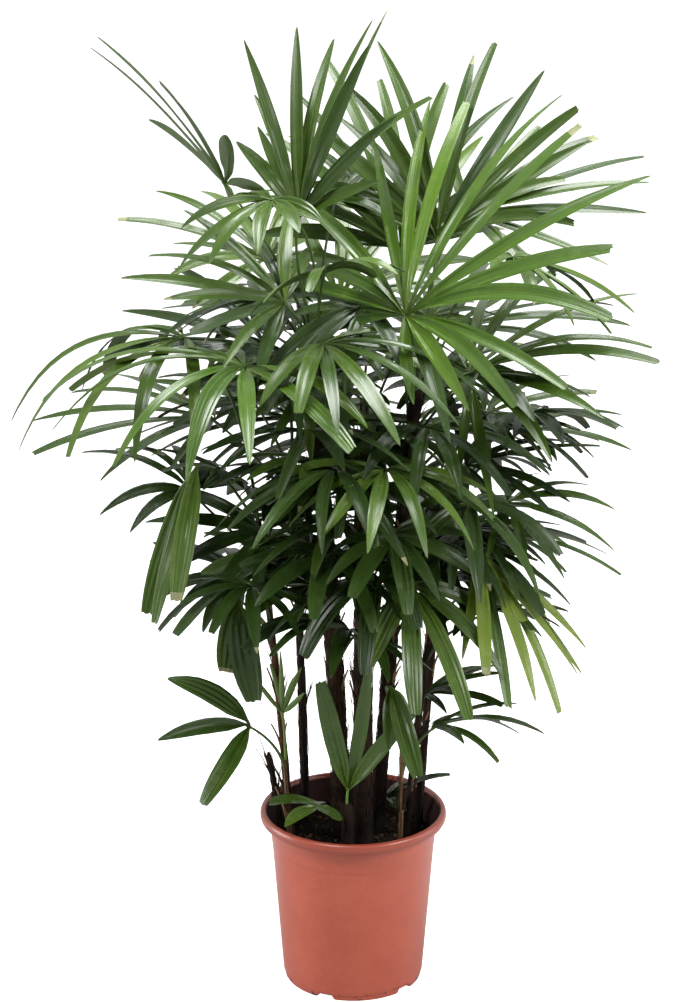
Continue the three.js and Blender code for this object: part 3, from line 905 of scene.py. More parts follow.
# The last column is how far each bark takes the painted shade low down.
BARKS = {
    bark: EarthyFinish(f"bark_{bark.value}", colour, second, 70, low_shade=low_shade)
    for bark, colour, second, low_shade in (
        (Bark.BROWN, (0.016, 0.008, 0.005), (0.06, 0.029, 0.015), 0.8),
        (Bark.BLACK, (0.008, 0.005, 0.004), (0.034, 0.017, 0.011), 0.8),
        (Bark.RUSSET, (0.045, 0.016, 0.008), (0.15, 0.06, 0.028), 0.5),
        (Bark.TAN, (0.16, 0.09, 0.045), (0.34, 0.21, 0.11), 0.3),
    )
}
DRY_TIP = EarthyFinish("leaf_dry_tip", (0.3, 0.31, 0.17), (0.16, 0.16, 0.07), 120, 0.8, 0.6, 0.0003)
# The fibres take the same painted shade low down as the barks.
FIBRE = EarthyFinish(
    "sheath_fibre", (0.014, 0.007, 0.005), (0.1, 0.05, 0.026), 40, 0.9, 0.8, 0.0003, low_shade=0.8
)
BRISTLE = EarthyFinish("sheath_bristle", (0.01, 0.006, 0.004), (0.05, 0.026, 0.015), 60, 0.8, 0.8, 0.0003)
DRY_STRAW = EarthyFinish("dry_straw", (0.33, 0.21, 0.11), (0.16, 0.09, 0.045), 60, 0.8, 0.75, 0.0004)
SOIL = EarthyFinish("potting_soil", (0.007, 0.005, 0.004), (0.024, 0.016, 0.011), 120, 0.9, 0.95, 0.002, 0.1)
CRUMB = EarthyFinish("soil_crumb", (0.009, 0.006, 0.005), (0.034, 0.022, 0.015), 150, 0.9, 0.95, 0.001, 0.1)
BARK_CHIP = EarthyFinish("soil_bark_chip", (0.04, 0.024, 0.015), (0.11, 0.07, 0.042), 150, 0.8, 0.9, 0.001)


# --- fronds


@dataclass
class Leaflet:
    """One leaflet of a fan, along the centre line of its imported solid.

    The places hub, middle and tip steer its curve, and level points to its left.
    """

    hub: Vector
    middle: Vector
    tip: Vector
    level: Vector
    width: float
    length: float
    seed: int
    index: int
    thickness: float = 0.7
    root_fold: float = 62.0
    fold: float = 14.0
    twist: Pair = (-34.0, 34.0)
    sway: Pair = (-0.03, 0.03)
    bow: Pair = (-0.012, 0.02)
    sag: float = 0.09
    sag_from: float = 0.55
    fold_vary: Pair = (0.5, 1.6)
    opened_at: float = 0.3
    keel: float = 0.35
    pleat: float = 0.11
    wide_pleat: float = 0.17
    wide: float = 25.0
    long: float = 160.0
    tip_rows: Triple = (0.93, 0.97, 1.0)
    slant: Pair = (-0.5, 0.5)
    bite: float = 0.35
    tooth: float = 0.55
    deepest: float = 0.9
    withered_share: float = 0.12
    broad: float = 24.0
    blunt_share: float = 0.3
    broad_blunt_share: float = 0.75

    def luck(self, purpose: int) -> float:
        """This leaflet's own chance for a purpose."""
        return chance(self.seed, self.index, purpose)

    @property
    def blunt(self) -> bool:
        """Whether its tip is cut blunt, as those of broad leaflets mostly are."""
        return self.luck(10) < (self.broad_blunt_share if self.width > self.broad else self.blunt_share)

    def centre(self, t: float) -> Vector:
        """The centre line at a share of the length."""
        return self.hub * (1 - t) ** 2 + self.middle * (2 * t * (1 - t)) + self.tip * t * t

    def girth(self, t: float) -> float:
        """Half the blade's width at a share of the length.

        Args:
            t: the share of the length.

        Returns:
            The half width in millimetres.
        """
        places = (0.0, 0.05, 0.14, 0.28, 0.48, 0.68, 0.82, 0.92, 1.0)
        blunt = (0.16, 0.3, 0.66, 0.9, 1.0, 0.95, 0.82, 0.66, 0.46)
        pointed = (0.16, 0.3, 0.66, 0.92, 1.0, 0.86, 0.62, 0.36, 0.07)
        return float(np.interp(t, places, blunt if self.blunt else pointed)) * self.width / 2

    def sides(self, tangent: Vector) -> tuple[Vector, Vector]:
        """The directions to the blade's left and up from it, where it runs along a tangent."""
        left = (self.level - tangent * self.level.dot(tangent)).normalized()
        return left, tangent.cross(left)

    def section(self, t: float, columns: int) -> Ring:
        """The middle surface's points across the blade, from its right edge to its left.

        Args:
            t: the share of the length.
            columns: the number of points.

        Returns:
            The points.
        """
        tangent = (self.middle - self.hub).lerp(self.tip - self.middle, t).normalized()
        left, up = self.sides(tangent)
        turn = Matrix.Rotation(math.radians(mix(*self.twist, self.luck(11))) * t**1.4, 3, tangent)
        left, up = turn @ left, turn @ up
        middle = self.centre(t)
        middle += left * (mix(*self.sway, self.luck(12)) * self.length * math.sin(math.pi * t))
        middle += up * (mix(*self.bow, self.luck(13)) * self.length * math.sin(math.pi * t))
        middle.z -= self.sag * self.luck(14) * self.length * max(0.0, t - self.sag_from) ** 2
        half = self.girth(t)
        opened = ease(0.0, self.opened_at, t)
        fold = math.radians(mix(self.root_fold, self.fold * mix(*self.fold_vary, self.luck(15)), opened))
        pleat = (self.wide_pleat if self.width > self.wide else self.pleat) * half * (1 - 0.45 * t)
        rise = math.sin(fold)
        ring = []
        for k in range(columns):
            c = 2 * k / (columns - 1) - 1
            lift = abs(c) * half * rise + (pleat if k % 2 else 0.0) - self.keel * half * rise
            ring.append(middle + left * (c * half * math.cos(fold)) + up * lift)
        return ring

    def rows(self) -> list[float]:
        """The shares of the length that have a section, closer at root and tip.

        Returns:
            The shares.
        """
        count = 15 if self.length > self.long else 11
        inner = [(k / (count - 2)) ** 1.15 for k in range(count - 1)]
        last, *tip = self.tip_rows
        return [last * t for t in inner] + tip

    def build(self, shells: Shells, shade: int, underside: int, dry: int) -> None:
        """Adds the blade as one closed shell.

        Args:
            shells: where it is gathered.
            shade: the finish number of its upper face.
            underside: the finish number of its lower face.
            dry: the finish number of a withered tip.
        """
        columns = 9 if self.width > self.wide else 7
        rows = self.rows()
        sections = [self.section(t, columns) for t in rows]
        self.cut_tip(sections)
        tangent = (self.tip - self.middle).normalized()
        withered = self.luck(16) < self.withered_share
        tops, unders = [], []
        for ring in sections:
            up = tangent.cross((ring[-1] - ring[0]).normalized())
            top = [shells.point(p) for p in ring]
            tops.append(top)
            unders.append([top[0], *(shells.point(p - up * self.thickness) for p in ring[1:-1]), top[-1]])
        steps = columns - 1
        for j, v in enumerate(zip(rows, rows[1:])):
            tip_row = withered and v[1] > self.tip_rows[0]
            for k in range(steps):
                u = (k / steps, (k + 1) / steps)
                shells.quad(tops[j : j + 2], k + 1, k, u[::-1], v, dry if tip_row else shade)
                shells.quad(unders[j : j + 2], k, k + 1, u, v, dry if tip_row else underside)
        for row, v, finish in ((0, 0.0, shade), (-1, 1.0, dry if withered else shade)):
            top, under = tops[row], unders[row]
            for k in range(steps):
                corners = list(dict.fromkeys([top[k], top[k + 1], under[k + 1], under[k]]))
                shells.face(corners if row else corners[::-1], [(0.5, v)] * len(corners), finish)

    def cut_tip(self, sections: list[Ring]) -> None:
        """Cuts the last section ragged: a blunt tip slants and is toothed between its ribs.

        Args:
            sections: the blade's sections, of which the last is changed.
        """
        last, before = sections[-1], sections[-2]
        slant = mix(*self.slant, self.luck(17))
        for k, corner in enumerate(last):
            c = 2 * k / (len(last) - 1) - 1
            tooth = self.tooth * chance(self.seed + 0.37, self.index, 20 + k) if self.blunt else abs(c)
            back = (self.bite * (1 + slant * c) + tooth) * (1.0 if self.blunt else 0.5)
            last[k] = corner.lerp(before[k], min(self.deepest, back))


def vertex_tree(packed: Object) -> kdtree.KDTree:
    """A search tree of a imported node's corners, in millimetres.

    Args:
        packed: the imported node.

    Returns:
        The search tree.
    """
    near = kdtree.KDTree(len(packed.data.vertices))
    for number, vertex in enumerate(packed.data.vertices):
        near.insert(vertex.co / MM, number)
    near.balance()
    return near


class Fan:
    """A frond as it stands: its leaflets and its stalk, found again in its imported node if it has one."""

    def __init__(self, frond: Frond, cane: Cane, packed: Object | None = None) -> None:
        """Takes the frond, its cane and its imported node.

        Args:
            frond: the frond.
            cane: the cane that bears it.
            packed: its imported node, if it has one.
        """
        self.frond, self.cane = frond, cane
        self.near = vertex_tree(packed) if packed else None
        bearing, rise, roll = (math.radians(angle) for angle in frond.aim)
        level = math.cos(rise)
        self.along = Vector((level * math.cos(bearing), level * math.sin(bearing), math.sin(rise)))
        flat = Vector((-math.sin(bearing), math.cos(bearing), 0))
        self.across = Matrix.Rotation(roll, 3, self.along) @ flat
        self.face = self.along.cross(self.across)

    def direction(self, turn: float, lift: float) -> Vector:
        """The direction at a turn from the fan's middle towards its left, lifted off its plane.

        Args:
            turn: the turn in degrees.
            lift: the lift in degrees.

        Returns:
            The direction.
        """
        turn, lift = math.radians(turn), math.radians(lift)
        level = self.along * math.cos(turn) + self.across * math.sin(turn)
        return level * math.cos(lift) + self.face * math.sin(lift)

    def leaflet(self, i: int, turn: float, lift: float, share: float) -> Leaflet:
        """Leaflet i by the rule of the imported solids, turned, lifted and shortened to a share.

        Args:
            i: the leaflet's number.
            turn: its dodge to the side in degrees.
            lift: its dodge upwards in degrees.
            share: the share of its length that it keeps.

        Returns:
            The leaflet.
        """
        frond, seed = self.frond, self.frond.seed
        count, blade, width = frond.fan
        place = 2 * i / (count - 1) - 1
        root = frond.spread / 2 * place + vary(FAN_TURN_VARY, seed, i, 1)
        blade *= 1 - frond.shorter * abs(place) ** 1.6
        length = blade * (1 + vary(FAN_LENGTH_VARY, seed, i, 3)) * share
        droop = frond.droop * (1 + vary(FAN_DROOP_VARY, seed, i, 4))
        heading = self.direction(root + turn, frond.cup + vary(FAN_LIFT_VARY, seed, i, 2) + lift)
        hub = Vector(frond.hub)
        middle = hub + heading * (length / 2)
        tip = middle + (heading + Vector((0, 0, -droop))).normalized() * (length / 2)
        level = self.face.cross(heading).normalized()
        wide = width * (1 + vary(FAN_WIDTH_VARY, seed, i, 5))
        return Leaflet(hub, middle, tip, level, wide, length, seed, i)

    def is_packed(self, leaf: Leaflet) -> bool:
        """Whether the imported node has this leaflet's tip.

        Args:
            leaf: the leaflet.

        Returns:
            True if the node has it.
        """
        left, up = leaf.sides((leaf.tip - leaf.middle).normalized())
        thickness = max(SOLID_THICKNESS, SOLID_THICKNESS_SHARE * leaf.length)
        reach = leaf.width / 2 * SOLID_TIP_GIRTH
        lift = up * (SOLID_TIP_LIFT * thickness)
        corners = [leaf.tip + left * (side * reach) + lift for side in (-1, 1)]
        return all(self.near.find(corner)[2] < TIP_SLACK for corner in corners)

    def leaflets(self) -> list[Leaflet]:
        """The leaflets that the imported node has, where it has them, or all where there is no node.

        Returns:
            The leaflets.
        """
        found = []
        for i in range(self.frond.fan[0]):
            tries = (self.leaflet(i, *dodge, share) for share in SHORTENINGS for dodge in DODGES)
            leaf = next((leaf for leaf in tries if not self.near or self.is_packed(leaf)), None)
            if leaf:
                found.append(leaf)
        return found

    def stalk(self) -> list[Vector]:
        """The stalk's middle line from its cane to its hub, evenly spaced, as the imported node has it.

        Returns:
            The line's points.
        """
        if not self.near:
            return self.stalk_from(KNOT_STEPS[0])
        return max((self.stalk_from(step) for step in KNOT_STEPS), key=self.likeness)

    def stalk_from(self, step: float) -> list[Vector]:
        """The stalk's middle line if it leaves the cane a step above its usual height.

        Args:
            step: the step in millimetres.

        Returns:
            The line's points.
        """
        frond, cane = self.frond, self.cane
        away = math.hypot(frond.hub[0] - cane.tip[0], frond.hub[1] - cane.tip[1])
        rise = math.radians(max(0, frond.aim[1]))
        least, reach, steep = STALK_DROP
        drop = least + away * (reach + steep * math.sin(rise))
        highest = cane.tip[2] - KNOT_UNDER_TIP - KNOT_SPACING * frond.order
        height = max(SOIL_TOP + KNOT_OVER_SOIL, min(frond.hub[2] - drop, highest) + step)
        share = min((height - CANE_FOOT) / cane.height(), 0.995)
        knot = cane.axis(share)
        end = Vector(frond.hub) + self.along * STALK_OVERLAP
        span = (end - knot).length
        arrive = math.radians(frond.aim[1] * STALK_ARRIVAL[0] + STALK_ARRIVAL[1])
        arriving = spoke(math.radians(frond.aim[0])) * math.cos(arrive) + Vector((0, 0, math.sin(arrive)))
        leave, stop = (handle * span for handle in STALK_HANDLES)
        return evenly([knot, knot + cane.heading(share) * leave, end - arriving * stop, end], STALK_STEPS)

    def likeness(self, line: list[Vector]) -> int:
        """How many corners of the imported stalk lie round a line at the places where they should.

        Args:
            line: the line's points.

        Returns:
            The number of corners.
        """
        score = 0
        for k in range(2, SOLID_STRETCHES):
            radius = mix(*SOLID_STALK, k / SOLID_STRETCHES)
            place = line[k * STALK_STEPS // SOLID_STRETCHES]
            near = self.near.find_range(place, radius + STALK_SLACK)
            score += sum(1 for _, _, distance in near if distance > radius - STALK_SLACK)
        return score


def evenly(corners: list[Vector], steps: int) -> list[Vector]:
    """Points at even distances along the cubic curve that four corners steer.

    Args:
        corners: the curve's start, its two handles and its end.
        steps: the number of stretches.

    Returns:
        The points, one more than the steps.
    """
    a, b, c, d = corners
    fine = []
    for k in range(201):
        t = k / 200
        s = 1 - t
        fine.append(a * s**3 + b * (3 * s * s * t) + c * (3 * s * t * t) + d * t**3)
    lengths = np.concatenate([[0.0], np.cumsum([(q - p).length for p, q in zip(fine, fine[1:])])])
    wanted = np.linspace(0, lengths[-1], steps + 1)
    table = np.array([tuple(p) for p in fine])
    return [Vector([float(np.interp(w, lengths, table[:, axis])) for axis in range(3)]) for w in wanted]


@dataclass(frozen=True)
class InnerFans:
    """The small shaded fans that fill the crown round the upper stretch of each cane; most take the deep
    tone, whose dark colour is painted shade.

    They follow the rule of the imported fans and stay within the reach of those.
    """

    lowest: float = 470.0
    above: float = 0.42
    apart: float = 44.0
    golden: float = 137.5
    cane_turn: float = 61.0
    turn_vary: float = 30.0
    roll_vary: float = 30.0
    away: Pair = (35.0, 120.0)
    climb: float = 0.35
    leaflets: int = 8
    blade: Pair = (120.0, 175.0)
    width: Pair = (17.0, 25.0)
    rise: Pair = (-25.0, 40.0)
    droop: float = 0.8
    green_share: float = 0.12
    first_seed: int = 500
    cane_seeds: int = 20

    def of_cane(self, cane: Cane, number: int) -> list[Frond]:
        """The inner fronds of one cane, from the lowest up.

        Args:
            cane: the cane.
            number: the cane's number, which seeds its fronds.

        Returns:
            The fronds.
        """
        highest = cane.tip[2] + self.above * (cane.tip[2] - self.lowest)
        count = max(0, round((highest - self.lowest) / self.apart))
        fronds = []
        for k in range(count):
            seed = self.first_seed + self.cane_seeds * number + k
            bearing = self.golden * k + self.cane_turn * number + vary(self.turn_vary, seed, 0, 60)
            height = mix(self.lowest, highest, (k + 0.5) / count)
            at = cane.axis(min(1.0, (height - CANE_FOOT) / cane.height()))
            away, turn = mix(*self.away, chance(seed, 0, 61)), math.radians(bearing)
            hub = (at.x + away * math.cos(turn), at.y + away * math.sin(turn), height + self.climb * away)
            aim = (bearing, mix(*self.rise, chance(seed, 0, 62)), vary(self.roll_vary, seed, 0, 63))
            blade, width = mix(*self.blade, chance(seed, 0, 64)), mix(*self.width, chance(seed, 0, 65))
            # Most inner fans take the deep tone, whose dark colours paint the shade inside the crown.
            tone = GREEN if chance(seed, 0, 66) < self.green_share else DEEP
            fan = (self.leaflets, blade, width)
            fronds.append(Frond(hub, aim, fan, tone, droop=self.droop, seed=seed, order=k))
        return fronds


@dataclass
class Foliage:
    """All the fronds: leaflets gathered by tone, and stalks gathered by tone."""

    canes: list[Cane]
    inner: InnerFans = InnerFans()
    stalk_root: float = 2.3
    stalk_tip: float = 1.5
    hub_swelling: Pair = (1.5, 1.2)
    fan_shade_vary: float = 1.2
    shade_vary: float = 1.4
    hanging: float = -40.0
    narrow: float = 10.0
    lit_through_share: float = 0.8

    def build(self, frame: dict) -> None:
        """Builds the pieces of every tone.
        """
        fans = []
        for number, cane in enumerate(self.canes):
            for order, frond in enumerate(cane.fronds):
                frond.name = f"{cane.name}_frond_{order + 1}"
                frond.seed, frond.order = 10 * number + order, order
                fans.append(Fan(frond, cane, frame["nodes"][frond.name]))
            fans += [Fan(frond, cane) for frond in self.inner.of_cane(cane, number)]
        for tone in Tone:
            own = [fan for fan in fans if fan.frond.tone is tone]
            nodes = [fan.frond.name for fan in own if fan.frond.name]
            settle(self.blades(tone, own), nodes)
            settle(self.stalks(tone, own), nodes)

    def blades(self, tone: Tone, fans: list[Fan]) -> Object:
        """The leaflets of one tone, each with one of its shades.

        Args:
            tone: the tone.
            fans: its fans.

        Returns:
            The piece.
        """
        finishes = [finish.material() for finish in LEAF_SHADES[tone]]
        yellow = len(finishes) - 1
        finishes += [UNDERSIDES[tone].material(), DRY_TIP.material()]
        underside, dry = yellow + 1, yellow + 2
        shells = Shells()
        total = 0
        for fan in fans:
            shift = vary(self.fan_shade_vary, fan.frond.seed, 0, 30)
            lit_through = self.is_lit_through(fan.frond)
            for leaf in fan.leaflets():
                own = vary(self.shade_vary, leaf.seed, leaf.index, 31)
                shade = round(min(2.0, max(0.0, 1 + shift + own)))
                # Painted light shining through: most leaflets of such a frond take the yellow-green shade.
                if lit_through and leaf.luck(32) < self.lit_through_share:
                    shade = yellow
                leaf.build(shells, shade, underside, dry)
                total += 1
        LOG.info("%s: %d leaflets on %d fronds", tone.value, total, len(fans))
        return shells.piece(f"leaflets_{tone.value}", finishes, crease=28)

    def is_lit_through(self, frond: Frond) -> bool:
        """Whether a fresh frond that hangs down or is very narrow takes painted light shining through it, as
        a yellow-green shade.
        """
        return frond.tone is FRESH and (frond.aim[1] < self.hanging or frond.fan[2] < self.narrow)

    def stalks(self, tone: Tone, fans: list[Fan]) -> Object:
        """The stalks of one tone, thicker at the root and swollen at the hub.

        Args:
            tone: the tone.
            fans: its fans.

        Returns:
            The piece.
        """
        paths = []
        for fan in fans:
            line = fan.stalk()
            last = len(line) - 1
            sizes = [mix(self.stalk_root, self.stalk_tip, k / last) for k in range(last + 1)]
            sizes[-2:] = [self.stalk_tip * swelling for swelling in self.hub_swelling]
            paths.append(list(zip(line, sizes)))
        return tubes(f"stalks_{tone.value}", paths, 7, STALKS[tone].material())


# --- canes


def fibre_tree() -> NodeTree:
    """The Geometry Nodes tree that winds crossing fibres round a cane's middle line.

    Returns:
        The tree.
    """
    kinds = {"Fibres": "Int", "Reach": "Float", "Twist": "Float", "Thickness": "Float", "Looseness": "Float"}
    tree = Growth("fibre_sheath", {**kinds, "Seed": "Int"})
    given = tree.given
    strand = tree.value("GeometryNodeCurvePrimitiveLine")
    strand = tree.value("GeometryNodeResampleCurve", {"Curve": strand, "Count": 12})
    inputs = {"Geometry": strand, "Amount": given["Fibres"]}
    fibres, number = tree.node("GeometryNodeDuplicateElements", inputs, domain="SPLINE").outputs

    def luck(low: float, high: float, shift: float) -> NodeSocket:
        """Each fibre's own chance, by the cane's seed and a shift of it."""
        return tree.random(low, high, tree.sum("ADD", given["Seed"], shift), ID=number)

    share = tree.node("GeometryNodeSplineParameter").outputs["Factor"]
    at = tree.times(share, given["Reach"], luck(-0.04, 1.0, 11))
    inputs = {"Curves": tree.lines(), "Factor": at, "Value": tree.girth()}
    sample = tree.node("GeometryNodeSampleCurve", inputs, mode="FACTOR", use_all_curves=True).outputs
    slope = tree.times(tree.random(-1.0, 1.0, 5, ID=number), given["Twist"])
    angle = tree.times(share, slope, luck(0.0, 2 * math.pi, 23))
    inputs = {"Vector": sample["Normal"], "Axis": sample["Tangent"], "Angle": angle}
    side = tree.value("ShaderNodeVectorRotate", inputs, rotation_type="AXIS_ANGLE")
    free = tree.sum("POWER", luck(0.0, 1.0, 37), 3.4)
    lift = tree.times(tree.times(tree.sum("POWER", share, 3.0), free), given["Looseness"])
    away = tree.sum("ADD", tree.times(sample["Value"], 1.03), lift)
    offset = tree.value("ShaderNodeVectorMath", {0: side, "Scale": away}, operation="SCALE")
    place = tree.value("ShaderNodeVectorMath", {0: sample["Position"], 1: offset}, operation="ADD")
    moved = tree.value("GeometryNodeSetPosition", {"Geometry": fibres, "Position": place})
    return tree.ended(tree.real(tree.swept(moved, 3, given["Thickness"])))


@dataclass
class CaneSheaths:
    """The canes' bark: overlapping leaf sheaths, with fibres wound over them."""

    canes: list[Cane]
    sides: int = 18
    row: float = 3.2
    sheath: float = 31.0
    lip: float = 0.16
    wave: float = 7.0
    roughness: float = 0.05
    closed: float = 0.35
    closing: float = 5.0
    buried: float = 4.8
    fibre_density: float = 0.024
    fibre_reach: float = 75.0
    fibre_twist: float = 2.4
    fibre_radius: float = 0.38
    fibre_looseness: float = 10.0
    stub_spacing: float = 75.0
    stub_places: Pair = (0.15, 0.92)
    stub_length: Pair = (22.0, 60.0)
    stub_radii: Pair = (2.0, 1.1)
    stub_lean: float = 0.28
    stub_root: float = 0.7
    bristle_spacing: float = 7.0
    bristle_length: Pair = (18.0, 52.0)
    bristle_radii: Pair = (0.9, 0.35)
    bristle_lean: Pair = (0.1, 0.45)
    bristle_root: float = 0.85
    tuft: int = 6
    tuft_places: Pair = (0.3, 0.97)
    tuft_height: float = 14.0
    tuft_turn: float = 1.3

    def build(self) -> None:
        """Builds the bark of all canes, then their fibres, dry stubs and bristles."""
        barks = list(BARKS)
        shells = Shells()
        for number, cane in enumerate(self.canes):
            shells.tube(self.rings(cane, number), barks.index(cane.bark))
        piece = shells.piece("cane_bark", [BARKS[bark].material() for bark in barks], crease=50)
        settle(piece, [cane.name for cane in self.canes])
        for dressing in (self.fibres(), self.stubs(), self.bristles()):
            settle(dressing)

    def rings(self, cane: Cane, number: int) -> list[Ring]:
        """The bark's rings from the soil to the tip, swelling towards the lip of each sheath.

        Args:
            cane: the cane.
            number: its number, which seeds its bark.

        Returns:
            The rings.
        """
        height = cane.height()
        count = max(8, int(height / self.row))
        rings = []
        for j in range(count + 1):
            share = mix(self.buried / height, 1.0, j / count)
            heading = cane.heading(share)
            side = heading.cross(Vector((0, 1, 0))).normalized()
            other = heading.cross(side)
            closing = mix(self.closed, 1, ease(0.0, self.closing, (1 - share) * height))
            ring = []
            for k, angle in enumerate(circle(self.sides)):
                wave = self.wave * math.sin(angle + 1.7 * number)
                phase = (share * height + wave) / self.sheath + 0.3 * number
                sheath = math.floor(phase)
                swell = (phase - sheath) ** 1.5 * self.lip - self.lip / 2
                rough = vary(self.roughness, number, sheath * 7 + k, j % 5 + 40)
                radius = cane.girth(share) * closing * (1 + swell + rough)
                ring.append(cane.axis(share) + (side * math.cos(angle) + other * math.sin(angle)) * radius)
            rings.append(ring)
        return rings

    def fibres(self) -> Object:
        """The fibres of all canes, as one piece.

        Returns:
            The piece.
        """
        tree = fibre_tree()
        finish = FIBRE.material()
        parts = []
        for number, cane in enumerate(self.canes):
            height = cane.tip[2] - SOIL_TOP
            path = [(cane.axis(k / 30), cane.girth(k / 30)) for k in range(1, 31)]
            values = {
                "Fibres": int(height * cane.radius * self.fibre_density),
                "Reach": self.fibre_reach / height,
                "Twist": self.fibre_twist,
                "Thickness": self.fibre_radius * MM,
                "Looseness": self.fibre_looseness * MM,
                "Seed": 100 + number,
                "Finish": finish,
            }
            parts.append(grown(lines(cane.name, [path]), tree, values, f"fibres_{cane.name}"))
        return joined("cane_fibres", parts)

    def stubs(self) -> Object:
        """Dry cut leaf stalks left on the canes.

        Returns:
            The piece.
        """
        paths = []
        for number, cane in enumerate(self.canes):
            for k in range(int((cane.tip[2] - SOIL_TOP) / self.stub_spacing)):
                share = mix(*self.stub_places, chance(number, k, 50))
                bearing = 2 * math.pi * chance(number, k, 51)
                length = mix(*self.stub_length, chance(number, k, 52))
                shape = (length, self.stub_lean, 0)
                paths.append(cane.spine(share, bearing, self.stub_root, shape, self.stub_radii, 5))
        return tubes("dry_stubs", paths, 6, DRY_STRAW.material())

    def bristles(self) -> Object:
        """Stiff dark ends of broken sheaths, which stand off the canes in tufts.

        Returns:
            The piece.
        """
        paths = []
        for number, cane in enumerate(self.canes):
            height = cane.tip[2] - SOIL_TOP
            for k in range(int(height / self.bristle_spacing)):
                tuft = 70 + k // self.tuft
                share = mix(*self.tuft_places, chance(number, tuft, 53))
                share = min(share + vary(self.tuft_height, number, k, 54) / height, 0.98)
                bearing = 2 * math.pi * chance(number, tuft, 55) + vary(self.tuft_turn, number, k, 56)
                length = mix(*self.bristle_length, chance(number, k, 57) ** 1.5)
                shape = (length, mix(*self.bristle_lean, chance(number, k, 58)), 0.5)
                paths.append(cane.spine(share, bearing, self.bristle_root, shape, self.bristle_radii, 4))
        return tubes("sheath_bristles", paths, 4, BRISTLE.material())


def joined(name: str, parts: list[Object]) -> Object:
    """Joins objects that share their materials into one piece.

    Args:
        name: the piece's name.
        parts: the objects, of which the first is kept.

    Returns:
        The piece.
    """
    chosen = {"active_object": parts[0], "selected_editable_objects": parts, "selected_objects": parts}
    with bpy.context.temp_override(**chosen):
        bpy.ops.object.join()
    parts[0].name = parts[0].data.name = name
    return parts[0]


# --- pot and soil


@dataclass
class Pot:
    """A round tapered nursery pot with a rolled rim and drain cuts across its foot."""

    height: float = 232.0
    base_radius: float = 90.0
    neck_radius: float = 106.5
    rim_radius: float = 120.0
    neck_height: float = 211.0
    wall: float = 2.2
    floor: float = 3.0
    foot_height: float = 7.0
    foot_step: float = 1.2
    cuts: int = 5
    first_cut: float = -114.0
    cut_width: float = 22.0
    cut_depth: float = 13.0
    sides: int = 240

    def outside(self, height: float) -> float:
        """The outside radius of the wall below the rim."""
        return mix(self.base_radius, self.neck_radius, height / self.neck_height)

    def rim(self) -> list[Pair]:
        """The rolled rim's section, from the neck up, over and down to the inner wall.

        Returns:
            Its points, as radius and height.
        """
        out, top, neck, start = self.rim_radius, self.height, self.neck_radius, self.neck_height
        under = [(neck + 0.3, start + 2.2), (neck + 1.6, start + 4.2), (neck + 4.5, start + 5.8)]
        under.append((out - 4.2, start + 6.6))
        nose = []
        for k in range(9):
            angle = math.radians(-70 + 160 * k / 8)
            nose.append((out - 4 + 4 * math.cos(angle), top - 7 + 7 * math.sin(angle)))
        inner = [(out - 6.5, top - 0.3), (out - 8.2, top - 2.2), (out - 9.0, top - 6.0)]
        return under + nose + inner + [(neck - self.wall, start - 3)]

    def profile(self) -> list[Pair]:
        """The whole section, from the underside's middle outwards and back to the floor's middle.

        Returns:
            Its points, as radius and height.
        """
        step = self.base_radius - self.foot_step
        under = [(r, 0.0) for r in (14, 45, self.base_radius - self.cut_depth - 1.5, 77, 81, 85, step - 1.2)]
        foot = [(step - 0.3, 0.3), (step, 1.1), (step + 0.2, 3.5), (step + 0.45, self.foot_height)]
        heights = (8, 20, 45, 75, 105, 135, 160, 182, 186, 187.2, 189, 200, self.neck_height)
        wall = [(self.outside(h) + 0.35 * ease(186, 187.5, h), h) for h in heights]
        inside = [(self.outside(h) - self.wall, h) for h in (150, 80, 20, self.floor + 2)]
        floor = [(self.outside(self.floor) - self.wall - 2, self.floor), (40, self.floor), (12, self.floor)]
        return under + foot + wall + self.rim() + inside + floor

    def cut(self, angle: float) -> float:
        """How much of a drain cut there is at an angle, from 0 to 1.

        Args:
            angle: the angle in radians.

        Returns:
            The share of the full cut.
        """
        spacing = 360 / self.cuts
        off = abs((math.degrees(angle) - self.first_cut + spacing / 2) % spacing - spacing / 2)
        half = math.degrees(self.cut_width / 2 / self.base_radius)
        return 1 - ease(half - 1.2, half + 1.2, off)

    def build(self) -> None:
        """Builds the pot as one closed shell."""
        shells = Shells()
        profile = self.profile()
        inward = self.base_radius - self.cut_depth
        rows = []
        for r, z in profile:
            row = []
            for angle in circle(self.sides):
                lift = z
                if r > inward - 0.5 and z < self.foot_height:
                    lift = mix(z, self.foot_height - 0.2 * (self.foot_height - z), self.cut(angle))
                row.append(shells.point(Vector((r * math.cos(angle), r * math.sin(angle), lift))))
            rows.append(row)
        low, high = shells.point(Vector((0, 0, 0))), shells.point(Vector((0, 0, self.floor)))
        for k in range(self.sides):
            n = (k + 1) % self.sides
            for j in range(len(rows) - 1):
                shells.quad(rows[j : j + 2], k, n, (0.0, 0.0), (0.0, 0.0), 0)
            for corners in ([low, rows[0][n], rows[0][k]], [high, rows[-1][k], rows[-1][n]]):
                shells.face(corners, [(0.0, 0.0)] * 3, 0)
        settle(shells.piece("pot_shell", [PotFinish().material()], crease=40), ["pot"])


